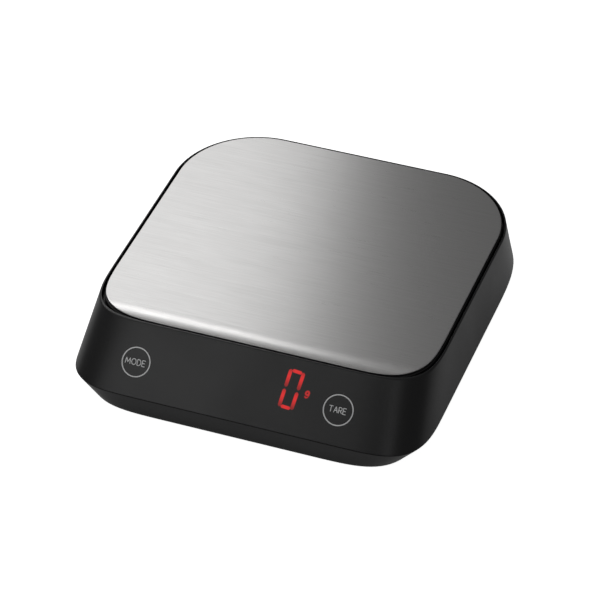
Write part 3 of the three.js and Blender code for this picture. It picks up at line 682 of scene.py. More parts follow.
def platform_carrier():
    """The black tray: its top follows the sheet, its underside is level, and a boss reaches the load cell."""
    shape = inset(PLATFORM, -CARRIER_LIP)
    depth = SHEET + GAP
    edge = 0.3
    insets = np.r_[edge, np.arange(0.9, 16, 0.9)]
    side = rounded_edge(edge)
    top = sheet_loops(shape, depth, insets, np.linspace(0.1, 0.9, 6))[::-1]
    upper = [draped(outline(inset(shape, s)), depth + lift) for s, lift in side[1:]]
    lower = [level(outline(inset(shape, s)), CARRIER_LOW + lift) for s, lift in side[::-1]]
    under = [shrunk(lower[-1], share) for share in (0.2, 0.5, 0.9)]
    tray = mesh_object("platform_carrier_tray", [rings(top + upper + lower + under)], CARRIER_BLACK)
    boss = block(BOSS_X, around(PLATFORM_Y, BOSS_HALF), (BOSS_LOW, CARRIER_LOW + 1), 0.3, 1.5)
    drills = [post(x, PLATFORM_Y, (BOSS_LOW - 1, PLATE_TOP), BAR_HOLE) for x in BAR_SCREWS]
    sinks = [post(x, PLATFORM_Y, (CARRIER_LOW + 0.2, PLATE_TOP), HEAD_SINK) for x in BAR_SCREWS]
    shaped(tray, [("UNION", [boss]), ("DIFFERENCE", drills), ("DIFFERENCE", sinks)])
    return settle(tray, "platform", "black_plastic", "platform_carrier")


platform_plate()
platform_carrier()

# ---------------------------------------------------------------- casing

panel_low = np.array([0, CREASE["front"], CREASE_Z])
panel_high = np.array([0, RIM["front"], RIM_Z])
panel_up = (panel_high - panel_low) / np.linalg.norm(panel_high - panel_low)
panel_out = np.cross((1.0, 0.0, 0.0), panel_up)
# The front panel's own frame: x along the scale, y up the slope, z out of it, from the slope's middle.
PANEL = np.eye(4)
PANEL[:3, 1], PANEL[:3, 2], PANEL[:3, 3] = panel_up, panel_out, (panel_low + panel_high) / 2


def in_panel(shells):
    """Shells written in the panel's frame, moved to their places in the scale."""
    return [placed(shell, PANEL) for shell in shells]


HOUSING_SCREWS = ((58.0, -34.0), (60.0, 12.0), (46.0, 61.0))
FEET = ((55.0, -58.0), (57.0, 42.0))
FOOT_RADIUS = 6.0
FOOT_HEIGHT = 2.4
PADS = ((52.0, -36.0), (48.0, 56.0))
PAD_GAP = 0.55
BOARD = dict(half=58.0, low=-10.5, high=12.0, front=8.9, thick=1.6)
BOARD_SCREWS = ((-54.5, 6.0), (54.5, 6.0))
BOARD_HOLE = 1.4
POST_HOLE = 1.8
DISPLAY = dict(x=(-26.0, 28.5), y=(-6.2, 10.8), front=1.7, filter=0.8, back=8.6)
PARTS_FACE = -BOARD["front"] - BOARD["thick"] - GAP
BATTERY = dict(half=25.5, front=26.6, back=59.8, roof=14.0, wall=1.4)
DOOR_THICK = 1.4
TONGUE = dict(x=14.0, half=4.0, reach=1.4, thick=0.8)
LATCH = dict(half=6.5, reach=3.4)


def both_sides(places):
    return [(side * x, y) for x, y in places for side in (-1, 1)]


def top_housing():
    """The upper shell as one skin: underside of the deck, inner wall, outer wall, rim, recess and deck."""
    rim = lambda side, z: level(outline(inset(RIM, side)), z)
    roof = upper_wall(DECK_LOW, WALL + 0.8, SLANTED_WALL + 0.8)
    inner = [shrunk(roof, share) for share in (0.95, 0.6, 0.3)] + [roof]
    levels = (DECK_LOW - 0.8, DECK_LOW - 5, CREASE_Z + 6, CREASE_Z)
    inner += [upper_wall(z, WALL, SLANTED_WALL) for z in levels]
    outer = [upper_wall(CREASE_Z + lift, side) for side, lift in rounded_edge(SEAM_EDGE)]
    outer += [upper_wall(z) for z in np.linspace(CREASE_Z + 0.3, RIM_Z - 0.8, 14)]
    outer += [upper_wall(RIM_Z - drop, side) for drop, side in RIM_CROWN]
    recess = [rim(RIM_LAND - side, RIM_Z - lift) for side, lift in rounded_edge(SEAM_EDGE)]
    recess += [rim(RIM_LAND, z) for z in (RIM_Z - 1, DECK_TOP + 0.5)]
    recess += [rim(RIM_LAND + side, DECK_TOP + lift) for side, lift in ((0.15, 0.15), (0.5, 0), (3, 0))]
    deck = [shrunk(recess[-1], share) for share in (0.3, 0.6, 0.95)]
    shell = mesh_object("top_housing_shell", [rings(inner + outer + recess + deck)], BLACK)

    screws = both_sides(HOUSING_SCREWS)
    posts = [post(x, y, (9, DECK_LOW + 0.5), 3.6) for x, y in screws]
    pads = [post(x, y, (DECK_TOP - 0.5, CARRIER_LOW - PAD_GAP), 3, edge=0.2) for x, y in both_sides(PADS)]
    board_posts = in_panel([post(x, y, (GAP - BOARD["front"], -1.8), 3) for x, y in BOARD_SCREWS])
    pilots = [post(x, y, (8, 18), POST_HOLE, 24) for x, y in screws]
    pilots += in_panel([post(x, y, (-BOARD["front"], -3.4), BOARD_HOLE, 24) for x, y in BOARD_SCREWS])
    opening = block(
        (BOSS_X[0] - 2, BOSS_X[1] + 2), around(PLATFORM_Y, BOSS_HALF + 2), (DECK_LOW - 1, DECK_TOP + 1), 0.1, 2,
    )
    loose = around(0, GAP)
    pocket = in_panel([block(
        np.add(DISPLAY["x"], loose), np.add(DISPLAY["y"], loose),
        (-BOARD["front"], GAP - DISPLAY["front"]), 0.1,
    )])
    shaped(shell, [("UNION", posts + pads + board_posts), ("DIFFERENCE", pilots + [opening] + pocket)])
    return settle(shell, "casing", "black_plastic", "top_housing")


def base_housing():
    """The lower shell as one skin: floor, rounded foot edge, flaring wall, lip and the inside."""
    rounding = 0.6
    flare = lambda z, side=0.0: lower_wall(z, side)
    foot = [flare(BASE_Z + lift, s) for s, lift in rounded_edge(rounding, 6)]
    under = [shrunk(foot[0], share) for share in (0.95, 0.6, 0.3, 0.05)]
    high = CREASE_Z - GAP
    lip = [flare(high - lift, s) for s, lift in rounded_edge(SEAM_EDGE)[::-1]]
    outer = foot + [flare(z) for z in np.linspace(BASE_Z + rounding + 0.5, high - 0.6, 10)] + lip
    inner = [flare(z, WALL + 0.3) for z in (high, FLOOR_TOP + 0.6)] + [flare(FLOOR_TOP, WALL + 0.9)]
    inner += [shrunk(inner[-1], share) for share in (0.3, 0.6, 0.95)]
    shell = mesh_object("base_housing_shell", [rings(under + outer + inner)], BLACK)

    front, back, half, wall = BATTERY["front"], BATTERY["back"], BATTERY["half"], BATTERY["wall"]
    floor, below = BASE_Z + 0.5, BASE_Z - 1
    pedestal = low_z("lower_spacer") - GAP
    screws, feet = both_sides(HOUSING_SCREWS), both_sides(FEET)
    bar_start = -BAR["half"]
    raised = [
        block(around(0, half + wall), (front - wall, back + wall), (floor, BATTERY["roof"] + wall), 0.4, 1.2),
        block(
            (bar_start - 1, bar_start + 25.5), around(PLATFORM_Y, BAR["width"] / 2 + 1),
            (floor, pedestal), 0.15, 0.6,
        ),
        post(BAR_SCREWS[1], PLATFORM_Y, (floor, 6), 5),
    ]
    raised += [post(x, y, (floor, 8.6), 4.8) for x, y in screws]
    raised += [post(x, y, (floor, 4.4), FOOT_RADIUS + 1.8, 56) for x, y in feet]
    latch_y = (front - LATCH["reach"] - GAP, front + 1)
    tongue_y = (back - 1, back + TONGUE["reach"] + 0.9)
    notches = [
        block(around(0, half), (front, back), (below, BATTERY["roof"]), 0.3, 0.5),
        block(around(0, LATCH["half"] + GAP), latch_y, (below, BASE_Z + DOOR_THICK + GAP), 0.15, 0.5),
    ]
    notches += [
        block(around(x, TONGUE["half"] + GAP), tongue_y, (below, FLOOR_TOP + 0.8), 0.1, 0.3)
        for x in around(0, TONGUE["x"])
    ]
    holes = [post(x, y, (below, 9), 1.9, 24) for x, y in screws]
    holes += [post(-x, PLATFORM_Y, (below, pedestal + 1), BAR_HOLE, 32) for x in BAR_SCREWS]
    holes += [post(BAR_SCREWS[1], PLATFORM_Y, (below, 7), 2.8, 32)]
    bores = [post(x, y, (below, 6.2), 3.3) for x, y in screws]
    bores += [post(-x, PLATFORM_Y, (below, 3.9), HEAD_SINK) for x in BAR_SCREWS]
    bores += [post(x, y, (below, FOOT_HEIGHT + GAP), FOOT_RADIUS + GAP, 56) for x, y in feet]
    shaped(shell, [("UNION", raised), ("DIFFERENCE", notches), ("DIFFERENCE", holes), ("DIFFERENCE", bores)])
    return settle(shell, "casing", "black_plastic", "base_housing")


top_housing()
base_housing()

# ---------------------------------------------------------------- what is printed and what glows on the panel


def corner_line(shape, turn):
    """x and y round the front right corner, from the straight front: (sin^(2/p), -cos^(2/p)) times r."""
    radius, bend = shape["front_radius"], 2 / shape.get("front_power", shape["power"])
    x = shape["half"] - radius + radius * np.sin(turn) ** bend
    y = shape["front"] + radius - radius * np.maximum(np.cos(turn), 0) ** bend
    return x, y


def panel_depth(x, along):
    """How far the panel's skin lies out of its flat frame at x and along: 0, then less round the corners.

    The wall is ruled between the crease and the rim, so at a height its corner is a mix of theirs.
    The height depends on the depth, so the two are found in turn. On the flat slope a step in depth comes
    back as 1 - 1 / up_z^2 of itself, so only up_z^2 of each step is taken, which settles at once there.
    """
    depth = np.zeros(len(x))
    round_part = np.abs(x) > RIM["half"] - RIM["front_radius"]
    if not round_part.any():
        return depth
    all_depths, x, along = depth, x[round_part], along[round_part]
    turn = np.linspace(0, math.pi / 2, 500) ** 1.5 / (math.pi / 2) ** 0.5
    crease_x, crease_y = corner_line(CREASE, turn)
    rim_x, rim_y = corner_line(RIM, turn)
    depth = np.zeros(len(x))
    rows = np.arange(len(x))
    for _ in range(8):
        z = PANEL[2, 3] + along * panel_up[2] + depth * panel_out[2]
        share = ((z - CREASE_Z) / (RIM_Z - CREASE_Z))[:, None]
        line_x = crease_x * (1 - share) + rim_x * share
        line_y = crease_y * (1 - share) + rim_y * share
        after = np.clip((line_x < np.abs(x)[:, None]).sum(1), 1, len(turn) - 1)
        low, high = line_x[rows, after - 1], line_x[rows, after]
        part = np.clip((np.abs(x) - low) / np.maximum(high - low, 1e-9), 0, 1)
        y = line_y[rows, after - 1] * (1 - part) + line_y[rows, after] * part
        found = (y - PANEL[1, 3] - along * panel_up[1]) / panel_out[1]
        depth = depth + (found - depth) * panel_up[2] ** 2
    all_depths[round_part] = depth
    return all_depths


def on_panel(points):
    """Points (x, along, lift) of the panel's frame laid on its real skin, as places in the scale."""
    points = points.copy()
    points[:, 2] += panel_depth(points[:, 0], points[:, 1])
    return points @ PANEL[:3, :3].T + PANEL[:3, 3]


def print_line(path, width, lift=0.03, closed=False):
    """A raised line of ink: a flat rectangular section carried along a path of (x, along)."""
    path = np.asarray(path, float)
    if closed:
        along = np.roll(path, -1, 0) - np.roll(path, 1, 0)
    else:
        chord = np.concatenate([[0], np.cumsum(np.linalg.norm(np.diff(path, axis=0), axis=1))])
        where = np.unique(np.r_[chord, np.linspace(0, chord[-1], 10)])
        path = np.c_[np.interp(where, chord, path[:, 0]), np.interp(where, chord, path[:, 1])]
        along = np.gradient(path, axis=0)
    along /= np.linalg.norm(along, axis=1)[:, None]
    across = np.c_[-along[:, 1], along[:, 0]] * width / 2
    bottom, top = np.full((len(path), 1), -0.05), np.full((len(path), 1), lift)
    loops = np.stack([
        np.c_[path - across, bottom], np.c_[path + across, bottom],
        np.c_[path + across, top], np.c_[path - across, top],
    ], 1)
    points, quads, triangles = rings(loops, "ring" if closed else "fan")
    return on_panel(points), quads, triangles


def arc(x, y, wide, high, start, end, count=14):
    """Points on an ellipse between two angles in degrees."""
    angle = np.radians(np.linspace(start, end, count))
    return np.c_[x + wide * np.cos(angle), y + high * np.sin(angle)]


STEM_LEFT = [(0, 0), (0, 1)]
# Plain letter strokes in a unit cell, and the width of each letter for a height of 1.
LETTERS = {
    "M": (0.87, [[(0, 0), (0.1, 1), (0.5, 0.22), (0.9, 1), (1, 0)]]),
    "O": (0.78, [arc(0.5, 0.5, 0.5, 0.5, 0, 360, 32)]),
    "D": (0.63, [STEM_LEFT, np.vstack([[(0, 1)], arc(0.35, 0.5, 0.65, 0.5, 90, -90), [(0, 0)]])]),
    "E": (0.54, [[(1, 1), (0, 1), (0, 0), (1, 0)], [(0, 0.52), (0.85, 0.52)]]),
    "T": (0.7, [[(0, 1), (1, 1)], [(0.5, 1), (0.5, 0)]]),
    "A": (0.66, [[(0, 0), (0.5, 1), (1, 0)], [(0.2, 0.36), (0.8, 0.36)]]),
    "R": (0.56, [
        STEM_LEFT,
        np.vstack([[(0, 1)], arc(0.5, 0.74, 0.42, 0.26, 90, -90), [(0, 0.48)]]),
        [(0.45, 0.48), (1, 0)],
    ]),
}


def word(text, centre, height, gap, width):
    """Ink lines of a word centred on a place of the panel."""
    wide = [LETTERS[letter][0] * height for letter in text]
    left = centre[0] - (sum(wide) + gap * (len(text) - 1)) / 2
    low = centre[1] - height / 2
    lines, lift = [], 0.026
    for letter, breadth in zip(text, wide):
        for stroke in LETTERS[letter][1]:
            path = np.asarray(stroke, float) * (breadth, height) + (left, low)
            lines.append(print_line(path, width, lift))
            lift += 0.001
        left += breadth + gap
    return lines


def touch_mark(name, text, centre, ring_radius, gap):
    """A touch key's ring and word."""
    angle = np.linspace(0, 2 * math.pi, 97)[:-1]
    ring = np.c_[centre[0] + ring_radius * np.cos(angle), centre[1] + ring_radius * np.sin(angle)]
    lines = [print_line(ring, 0.46, closed=True)] + word(text, (centre[0] - 0.25, centre[1]), 2.35, gap, 0.31)
    return settle(mesh_object(name, lines, PRINT), "casing", None)


def band_glow(x, y, start, end, half, fade, soft=0.22):
    """Light of one display bar: full inside half its width, soft at the rim, fading along its length.

    Where a point's foot on the bar's middle line is at share t, the bar's light is the fade curve at t.
    """
    start, end = np.array(start), np.array(end)
    along = end - start
    length = np.linalg.norm(along)
    t = ((x - start[0]) * along[0] + (y - start[1]) * along[1]) / length**2
    off = np.abs((x - start[0]) * along[1] - (y - start[1]) * along[0]) / length
    past = np.maximum(np.abs(t - 0.5) - 0.5, 0) * length
    taper = np.clip((0.5 - np.abs(t - 0.5)) * length / half + 0.3, 0, 1)
    edge = np.clip((half * taper - off - past) / soft + 0.5, 0, 1)
    return edge * edge * (3 - 2 * edge) * np.interp(t, np.linspace(0, 1, len(fade)), fade)


def display_light(x, y):
    """Light of the lit figure and of its unit letter, at points of the panel."""
    low_left, low_right = np.array([15.85, -4.85]), np.array([21.05, -5.1])
    top_left, top_right = np.array([17.35, 10.3]), np.array([22.7, 9.95])
    left = lambda v: tuple(low_left + (top_left - low_left) * v)
    right = lambda v: tuple(low_right + (top_right - low_right) * v)
    upright = (0.5, 0.9, 1.0, 0.78, 0.48, 0.28)
    level_bar = (0.8, 1.0, 1.0, 0.8)
    bars = [
        (left(1.0), left(0.53), 0.72, upright), (right(1.0), right(0.53), 0.72, upright),
        (left(0.47), left(0.0), 0.72, upright), (right(0.47), right(0.0), 0.72, upright),
        (tuple(top_left + (0.62, -0.3)), tuple(top_right + (-0.62, -0.3)), 0.66, level_bar),
        (tuple(low_left + (0.62, 0.3)), tuple(low_right + (-0.62, 0.3)), 0.66, level_bar),
    ]
    light = np.max([band_glow(x, y, *bar) for bar in bars], 0)
    lean = 0.14
    unit_x = x - lean * (y - 2.0)
    ring = lambda cx, cy, radius: np.abs(np.hypot((unit_x - cx) / 0.92, y - cy) - radius)
    bowl = np.clip((0.36 - ring(25.85, 2.6, 0.68)) / 0.34 + 0.5, 0, 1)
    tail = band_glow(unit_x, y, (26.55, 3.05), (26.55, 1.35), 0.34, (0.9, 1.0, 0.9), 0.34)
    hook = np.clip((0.28 - ring(25.9, 1.5, 0.68)) / 0.34 + 0.5, 0, 1) * np.clip((1.45 - y) / 0.4, 0, 1)
    return np.maximum(light, 0.7 * np.max([bowl, tail, hook], 0))


def display_glow():
    """A thin layer of the panel over the display, fine enough to hold the display's light."""
    across = np.linspace(14.2, 28.2, 150)
    along = np.linspace(-6.6, 11.4, 190)
    grid_x, grid_y = np.meshgrid(across, along)
    top = np.stack([grid_x, grid_y, np.full(grid_x.shape, 0.012)], -1)
    under = top[:, ::-1] - (0, 0, 0.06)
    points, quads, triangles = rings(np.concatenate([top, under], 1))
    light = display_light(points[:, 0], points[:, 1])
    patch = mesh_object("display_glow", [(on_panel(points), quads, triangles)], LIT)
    patch.data.attributes.new("glow", "FLOAT", "POINT").data.foreach_set("value", light.astype(np.float32))
    return settle(patch, "casing", None)


touch_mark("mode_mark", "MODE", (-45.8, -1.0), 5.85, 0.58)
touch_mark("tare_mark", "TARE", (39.55, -1.05), 6.0, 0.45)
display_glow()

# ---------------------------------------------------------------- door, feet and cells


def battery_door():
    """The door's leaf with its latch, two tongues and three grip grooves."""
    front, back, half = BATTERY["front"], BATTERY["back"], BATTERY["half"]
    low, high = BASE_Z, BASE_Z + DOOR_THICK
    leaf = block(around(0, half - GAP), (front + GAP, back - GAP), (low, high), 0.25, 0.8)
    door = mesh_object("battery_door_leaf", [leaf], BLACK)
    latch_y = (front - LATCH["reach"], front + GAP + 1)
    latch = block(around(0, LATCH["half"]), latch_y, (low + 0.2, high), 0.2, 0.8)
    tongue_y = (back - GAP - 1, back - GAP + TONGUE["reach"])
    tongues = [
        block(around(x, TONGUE["half"]), tongue_y, (high - TONGUE["thick"], high), 0.15, 0.4)
        for x in around(0, TONGUE["x"])
    ]
    grooves = [
        block(around(0, LATCH["half"] - 1), around(front + 4 + step, 0.4), (low - 1, low + 0.4), 0.12, 0.35)
        for step in (-2, 0, 2)
    ]
    shaped(door, [("UNION", [latch, *tongues]), ("DIFFERENCE", grooves)])
    return settle(door, "battery_door", "black_plastic", "battery_door")


def feet():
    """Rubber feet: a turned pad with a rounded rim and one shallow ring pressed into its sole."""
    rim = [(FOOT_RADIUS - side, lift) for side, lift in rounded_edge(0.7, 5)]
    sole = [(0, 0), (2.6, 0), (2.75, 0.12), (2.9, 0.25), (3.3, 0.25), (3.45, 0.12), (3.6, 0)]
    top = [(FOOT_RADIUS, FOOT_HEIGHT - 0.15), (FOOT_RADIUS - 0.15, FOOT_HEIGHT), (0, FOOT_HEIGHT)]
    for end, (x, y) in zip(("front", "rear"), FEET):
        for side, place in (("left", -x), ("right", x)):
            foot = mesh_object(f"foot_{end}_{side}_pad", [revolved(sole + rim + top, (place, y), 64)], RUBBER)
            settle(foot, "casing", "rubber", f"foot_{end}_{side}")


def turned_x(shell, x, y, z, side):
    """A shell whose axis was +Z laid along +X or -X at a place."""
    turn = Matrix.Translation((x, y, z)) @ Matrix.Rotation(side * math.pi / 2, 4, "Y")
    return placed(shell, turn)


CELL = dict(radius=5.25, length=43.5, nub=1.0, nub_radius=1.9)
CELL_Z = BASE_Z + DOOR_THICK + GAP + CELL["radius"]
CELL_Y = (32.3, 43.2, 54.1)
CONTACT_THICK = 0.4
CONTACT_HALF = 4.2
CONTACT_FACE = BATTERY["half"] - GAP - CONTACT_THICK
NUB_SIDES = (-1, 1, -1)


def battery_cells():
    """Each cell: a sleeve with rolled lips, and a steel can end at each side, the nub at the positive one."""
    radius, length = CELL["radius"], CELL["length"]
    share = np.linspace(0, 1, 40)
    ends = [(radius - side, lift) for side, lift in rounded_edge(0.28)]
    sleeve = [(0, 0.08), (4.3, 0.08), (4.35, 0.0)] + ends
    sleeve += [(radius, z) for z in 1.0 + share * (length - 2.0)]
    sleeve += [(r, length - z) for r, z in ends[::-1]]
    sleeve += [(4.35, length), (4.3, length - 0.08), (0, length - 0.08)]
    can = [(0, 0.1), (4.1, 0.1), (4.2, 0.02), (4.25, 0.12), (4.25, 1.0), (0, 1.0)]
    nub_radius, tip = CELL["nub_radius"], length + CELL["nub"]
    button = [
        (0, length - 1), (4.25, length - 1), (4.25, length - 0.02), (3.0, length - 0.02), (2.4, length + 0.02),
        (nub_radius, length + 0.2), (nub_radius, length + 0.8), (nub_radius - 0.15, length + 0.95),
        (nub_radius - 0.4, tip), (0, tip),
    ]
    for i, (y, side) in enumerate(zip(CELL_Y, NUB_SIDES)):
        start = -side * (tip - CONTACT_FACE + GAP)
        shell = revolved(sleeve, sides=56)
        turned = turned_x(shell, start, y, CELL_Z, side)
        wrap = mesh_object(f"battery_cell_{i + 1}_sleeve", [turned], CELL_WRAP)
        band = (shell[0][:, 2] > 0.72 * length).astype(np.float32)
        wrap.data.attributes.new("band", "FLOAT", "POINT").data.foreach_set("value", band)
        settle(wrap, "casing", "cell_wrap", f"battery_cell_{i + 1}")
        steel = [turned_x(revolved(profile, sides=40), start, y, CELL_Z, side) for profile in (can, button)]
        settle(mesh_object(f"battery_cell_{i + 1}_ends", steel, SPRING), "casing", "spring_steel")


def coil(low, high, low_radius, high_radius, turns, wire, sides=10):
    """A coil about Z: angle and height grow together while the radius goes from one value to the other."""
    share = np.linspace(0, 1, int(turns * 30))
    angle, radius = 2 * math.pi * turns * share, low_radius + (high_radius - low_radius) * share
    path = np.c_[radius * np.cos(angle), radius * np.sin(angle), low + (high - low) * share]
    return swept(path, wire, sides)


def contacts():
    """Contact plates at both ends of the compartment, with a coil for each negative cell end."""
    free = 2 * CONTACT_FACE - CELL["length"] - CELL["nub"] - 2 * GAP
    plan = (
        ("contact_negative", 1, (0,), (0,)), ("contact_bridge_left", -1, (0, 1), (1,)),
        ("contact_bridge_right", 1, (1, 2), (2,)), ("contact_positive", -1, (2,), ()),
    )
    for name, side, rows, springs in plan:
        x = sorted((side * CONTACT_FACE, side * (CONTACT_FACE + CONTACT_THICK)))
        y = (CELL_Y[rows[0]] - CONTACT_HALF, CELL_Y[rows[-1]] + CONTACT_HALF)
        shells = [block(x, y, around(CELL_Z, CONTACT_HALF), 0.08, 0.12)]
        for row in springs:
            spring = coil(-0.2, free - 0.4, 3.4, 1.8, 3.5, 0.3)
            shells.append(turned_x(spring, side * CONTACT_FACE, CELL_Y[row], CELL_Z, -side))
        for row in sorted(set(rows) - set(springs)):
            dimple = [(0, -0.3), (2.4, -0.3), (2.1, 0.02), (1.4, 0.16), (0, 0.22)]
            shells.append(turned_x(revolved(dimple), side * CONTACT_FACE, CELL_Y[row], CELL_Z, -side))
        settle(mesh_object(f"{name}_spring", shells, SPRING), "casing", "spring_steel", name)


# ---------------------------------------------------------------- screws


def circle(angle, radius, z):
    """A level circle as a loop."""
    return np.c_[radius * np.cos(angle), radius * np.sin(angle), np.full(len(angle), float(z))]


def thread(angle, heights, pitch, radius, core, narrow=1.0):
    """Loops of a thread: its radius rises from core times the radius to a crest.

    The crest is where height / pitch - angle / (2 pi) passes a half. narrow is a factor for each height.
    """
    turn = heights[:, None] / pitch - angle / (2 * math.pi)
    crest = np.clip(1 - np.abs((turn % 1) - 0.5) * 3.2, 0, 1)
    wide = radius * (core + (1 - core) * crest) * narrow
    return list(np.stack([wide * np.cos(angle), wide * np.sin(angle), heights[:, None] + 0 * wide], -1))


def screw(name, head, head_height, shank, length, pitch):
    """A cross-head screw with its head's face at z = 0, as a mesh kept for copying.

    Its head is a dome of given (radius, height) shares, and its thread narrows over the last turns.
    """
    tip = head_height + length
    angle = circle_angles(24)
    dome = [
        (0.3, 0.0), (0.62, 0.03), (0.8, 0.1), (0.92, 0.24), (0.98, 0.42), (1.0, 0.6), (1.0, 1.0), (0.93, 1.0),
    ]
    loops = [circle(angle, head * r, head_height * z) for r, z in dome]
    loops.append(circle(angle, shank * 0.8, head_height))
    heights = np.linspace(head_height + 0.3, tip - 0.05, int(length / pitch * 7))
    narrow = np.clip((tip - heights[:, None]) / (shank * 1.6), 0.25, 1)
    loops += thread(angle, heights, pitch, shank, 0.76, narrow)
    body = mesh_object(name, [rings(loops)], ZINC)
    wing, reach, deep = around(0, head * 0.13), around(0, head * 0.55), (-1, head_height * 0.62)
    cross = [block(x, y, deep, 0.08, wing[1] * 0.8) for x, y in ((reach, wing), (wing, reach))]
    shaped(body, [("DIFFERENCE", cross)])
    mesh = body.data
    bpy.data.objects.remove(body)
    return mesh


def place_screw(node_name, mesh, matrix, body="casing"):
    """A copy of a screw's mesh moved to its place, standing for its CAD node."""
    name = f"{node_name}_thread"
    mesh = mesh.copy()
    mesh.name = name
    moved = Matrix(matrix)
    moved.translation *= MM
    mesh.transform(moved)
    settle(new_object(name, mesh), body, "screw_steel", node_name)


def screws():
    """Every screw of the scale."""
    housing = screw("housing_screw", 2.8, 1.9, 1.5, 11.0, 0.9)
    for end, (x, y) in zip(("front", "middle", "rear"), HOUSING_SCREWS):
        for side, place in (("left", -x), ("right", x)):
            place_screw(f"housing_screw_{end}_{side}", housing, Matrix.Translation((place, y, 4.0)))
    bar = screw("bar_screw", 3.5, 2.0, 2.0, 12.4, 0.7)
    carrier = screw("carrier_screw", 3.5, 1.9, 2.0, 16.0, 0.7)
    over = Matrix.Rotation(math.pi, 4, "X")
    for i, x in enumerate(BAR_SCREWS):
        seat = Matrix.Translation((-x, PLATFORM_Y, BASE_Z + 0.2))
        place_screw(f"load_cell_screw_{i + 1}", bar, seat)
        seat = Matrix.Translation((x, PLATFORM_Y, CARRIER_LOW + CARRIER_SCREW_SEAT)) @ over
        place_screw(f"carrier_screw_{i + 1}", carrier, seat, "platform")
    board = screw("board_screw", 2.3, 1.5, 1.1, 6.5, 0.6)
    for side, place in zip(("left", "right"), BOARD_SCREWS):
        seat = Matrix.Translation((*place, PARTS_FACE - 1.5))
        place_screw(f"board_screw_{side}", board, Matrix(PANEL.tolist()) @ seat)


# ---------------------------------------------------------------- load cell


def turned_y(shell, x, y, z):
    """A shell whose axis was +Z laid along Y, with its middle at a place."""
    return placed(shell, Matrix.Translation((x, y, z)) @ Matrix.Rotation(math.pi / 2, 4, "X"))


def load_cell():
    """The milled bar with its two flexure holes, the slot between them and four screw holes."""
    x, y, z = around(0, BAR["half"]), around(PLATFORM_Y, BAR["width"] / 2), (BAR["low"], BAR["high"])
    middle = (BAR["low"] + BAR["high"]) / 2
    bar = mesh_object("load_cell_bar", [block(x, y, z, 0.25, 0.3)], ALUMINIUM)
    flexure = around(0, BAR["flexure_x"])
    bore = post(0, 0, (-10, 10), BAR["flexure_radius"], 56)
    flexures = [turned_y(bore, place, PLATFORM_Y, middle) for place in flexure]
    slot = [block(flexure, (y[0] - 1, y[1] + 1), around(middle, 0.8), 0.05)]
    drill = (BAR["low"] - 1, BAR["high"] + 1)
    holes = [post(place * s, PLATFORM_Y, drill, BAR_HOLE) for place in BAR_SCREWS for s in (-1, 1)]
    shaped(bar, [("DIFFERENCE", flexures), ("DIFFERENCE", slot), ("DIFFERENCE", holes)])
    settle(bar, "casing", "bare_aluminium", "load_cell")
    for name, end, low, body in (
        ("lower_spacer", -1, low_z("lower_spacer"), "casing"), ("upper_spacer", 1, SPACER_LOW, "platform"),
    ):
        x = sorted((end * BAR["half"], end * (BAR["half"] - SPACER_LENGTH)))
        plate = mesh_object(f"{name}_plate", [block(x, y, (low, low + SPACER), 0.12, 0.5)], ZINC)
        drill = (low - 1, low + SPACER + 1)
        holes = [post(end * place, PLATFORM_Y, drill, BAR_HOLE) for place in BAR_SCREWS]
        shaped(plate, [("DIFFERENCE", holes)])
        settle(plate, body, "screw_steel", name)


def sealant():
    """Soft white sealant over the gauges: a pillow whose height falls as 1 - s^6, with slow ripples."""
    low, high = (np.array(corner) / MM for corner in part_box("gauge_sealant"))
    middle, half = (low + high) / 2, (high - low) / 2
    pillow = dict(half=half[0], front=-half[1], back=half[1], front_radius=2.6, back_radius=2.6, power=2.0)
    edge = outline(pillow, 12, 10)
    loops = [level(edge * 0.97, low[2])]
    for s in np.r_[1.0, 0.99, 0.96, np.linspace(0.9, 0.05, 14)]:
        loop = edge * s
        ripple = 0.05 * np.sin(loop[:, 0] * 1.1 + 0.6) * np.sin(loop[:, 1] * 1.7 + 0.3) * (1 - s**4)
        loops.append(np.c_[loop, low[2] + (high[2] - low[2] - 0.06) * (1 - 0.62 * s**6) + ripple])
    points, quads, triangles = rings(loops)
    shell = (points + (middle[0], middle[1], 0), quads, triangles)
    settle(mesh_object("gauge_sealant_pillow", [shell], SEALANT), "casing", "white_sealant", "gauge_sealant")


def overload_stop():
    """The grub screw under the bar's free end, threaded as the screws are, with a six-sided socket."""
    low, high = low_z("overload_stop"), high_z("overload_stop")
    angle = circle_angles(32)
    loops = [circle(angle, 1.8, low), circle(angle, 2.0, low + 0.05)]
    loops += thread(angle, np.linspace(low + 0.3, high - 0.2, 60), 0.7, 2.5, 0.86)
    loops += [circle(angle, 2.0, high - 0.05), circle(angle, 1.8, high)]
    place = (BAR_SCREWS[1], PLATFORM_Y)
    grub = mesh_object("overload_stop_grub", [placed(rings(loops), Matrix.Translation((*place, 0)))], ZINC)
    shaped(grub, [("DIFFERENCE", [post(*place, (low - 2, low + 2), 1.3, 6)])])
    settle(grub, "casing", "screw_steel", "overload_stop")


# ---------------------------------------------------------------- electronics, in the panel's frame


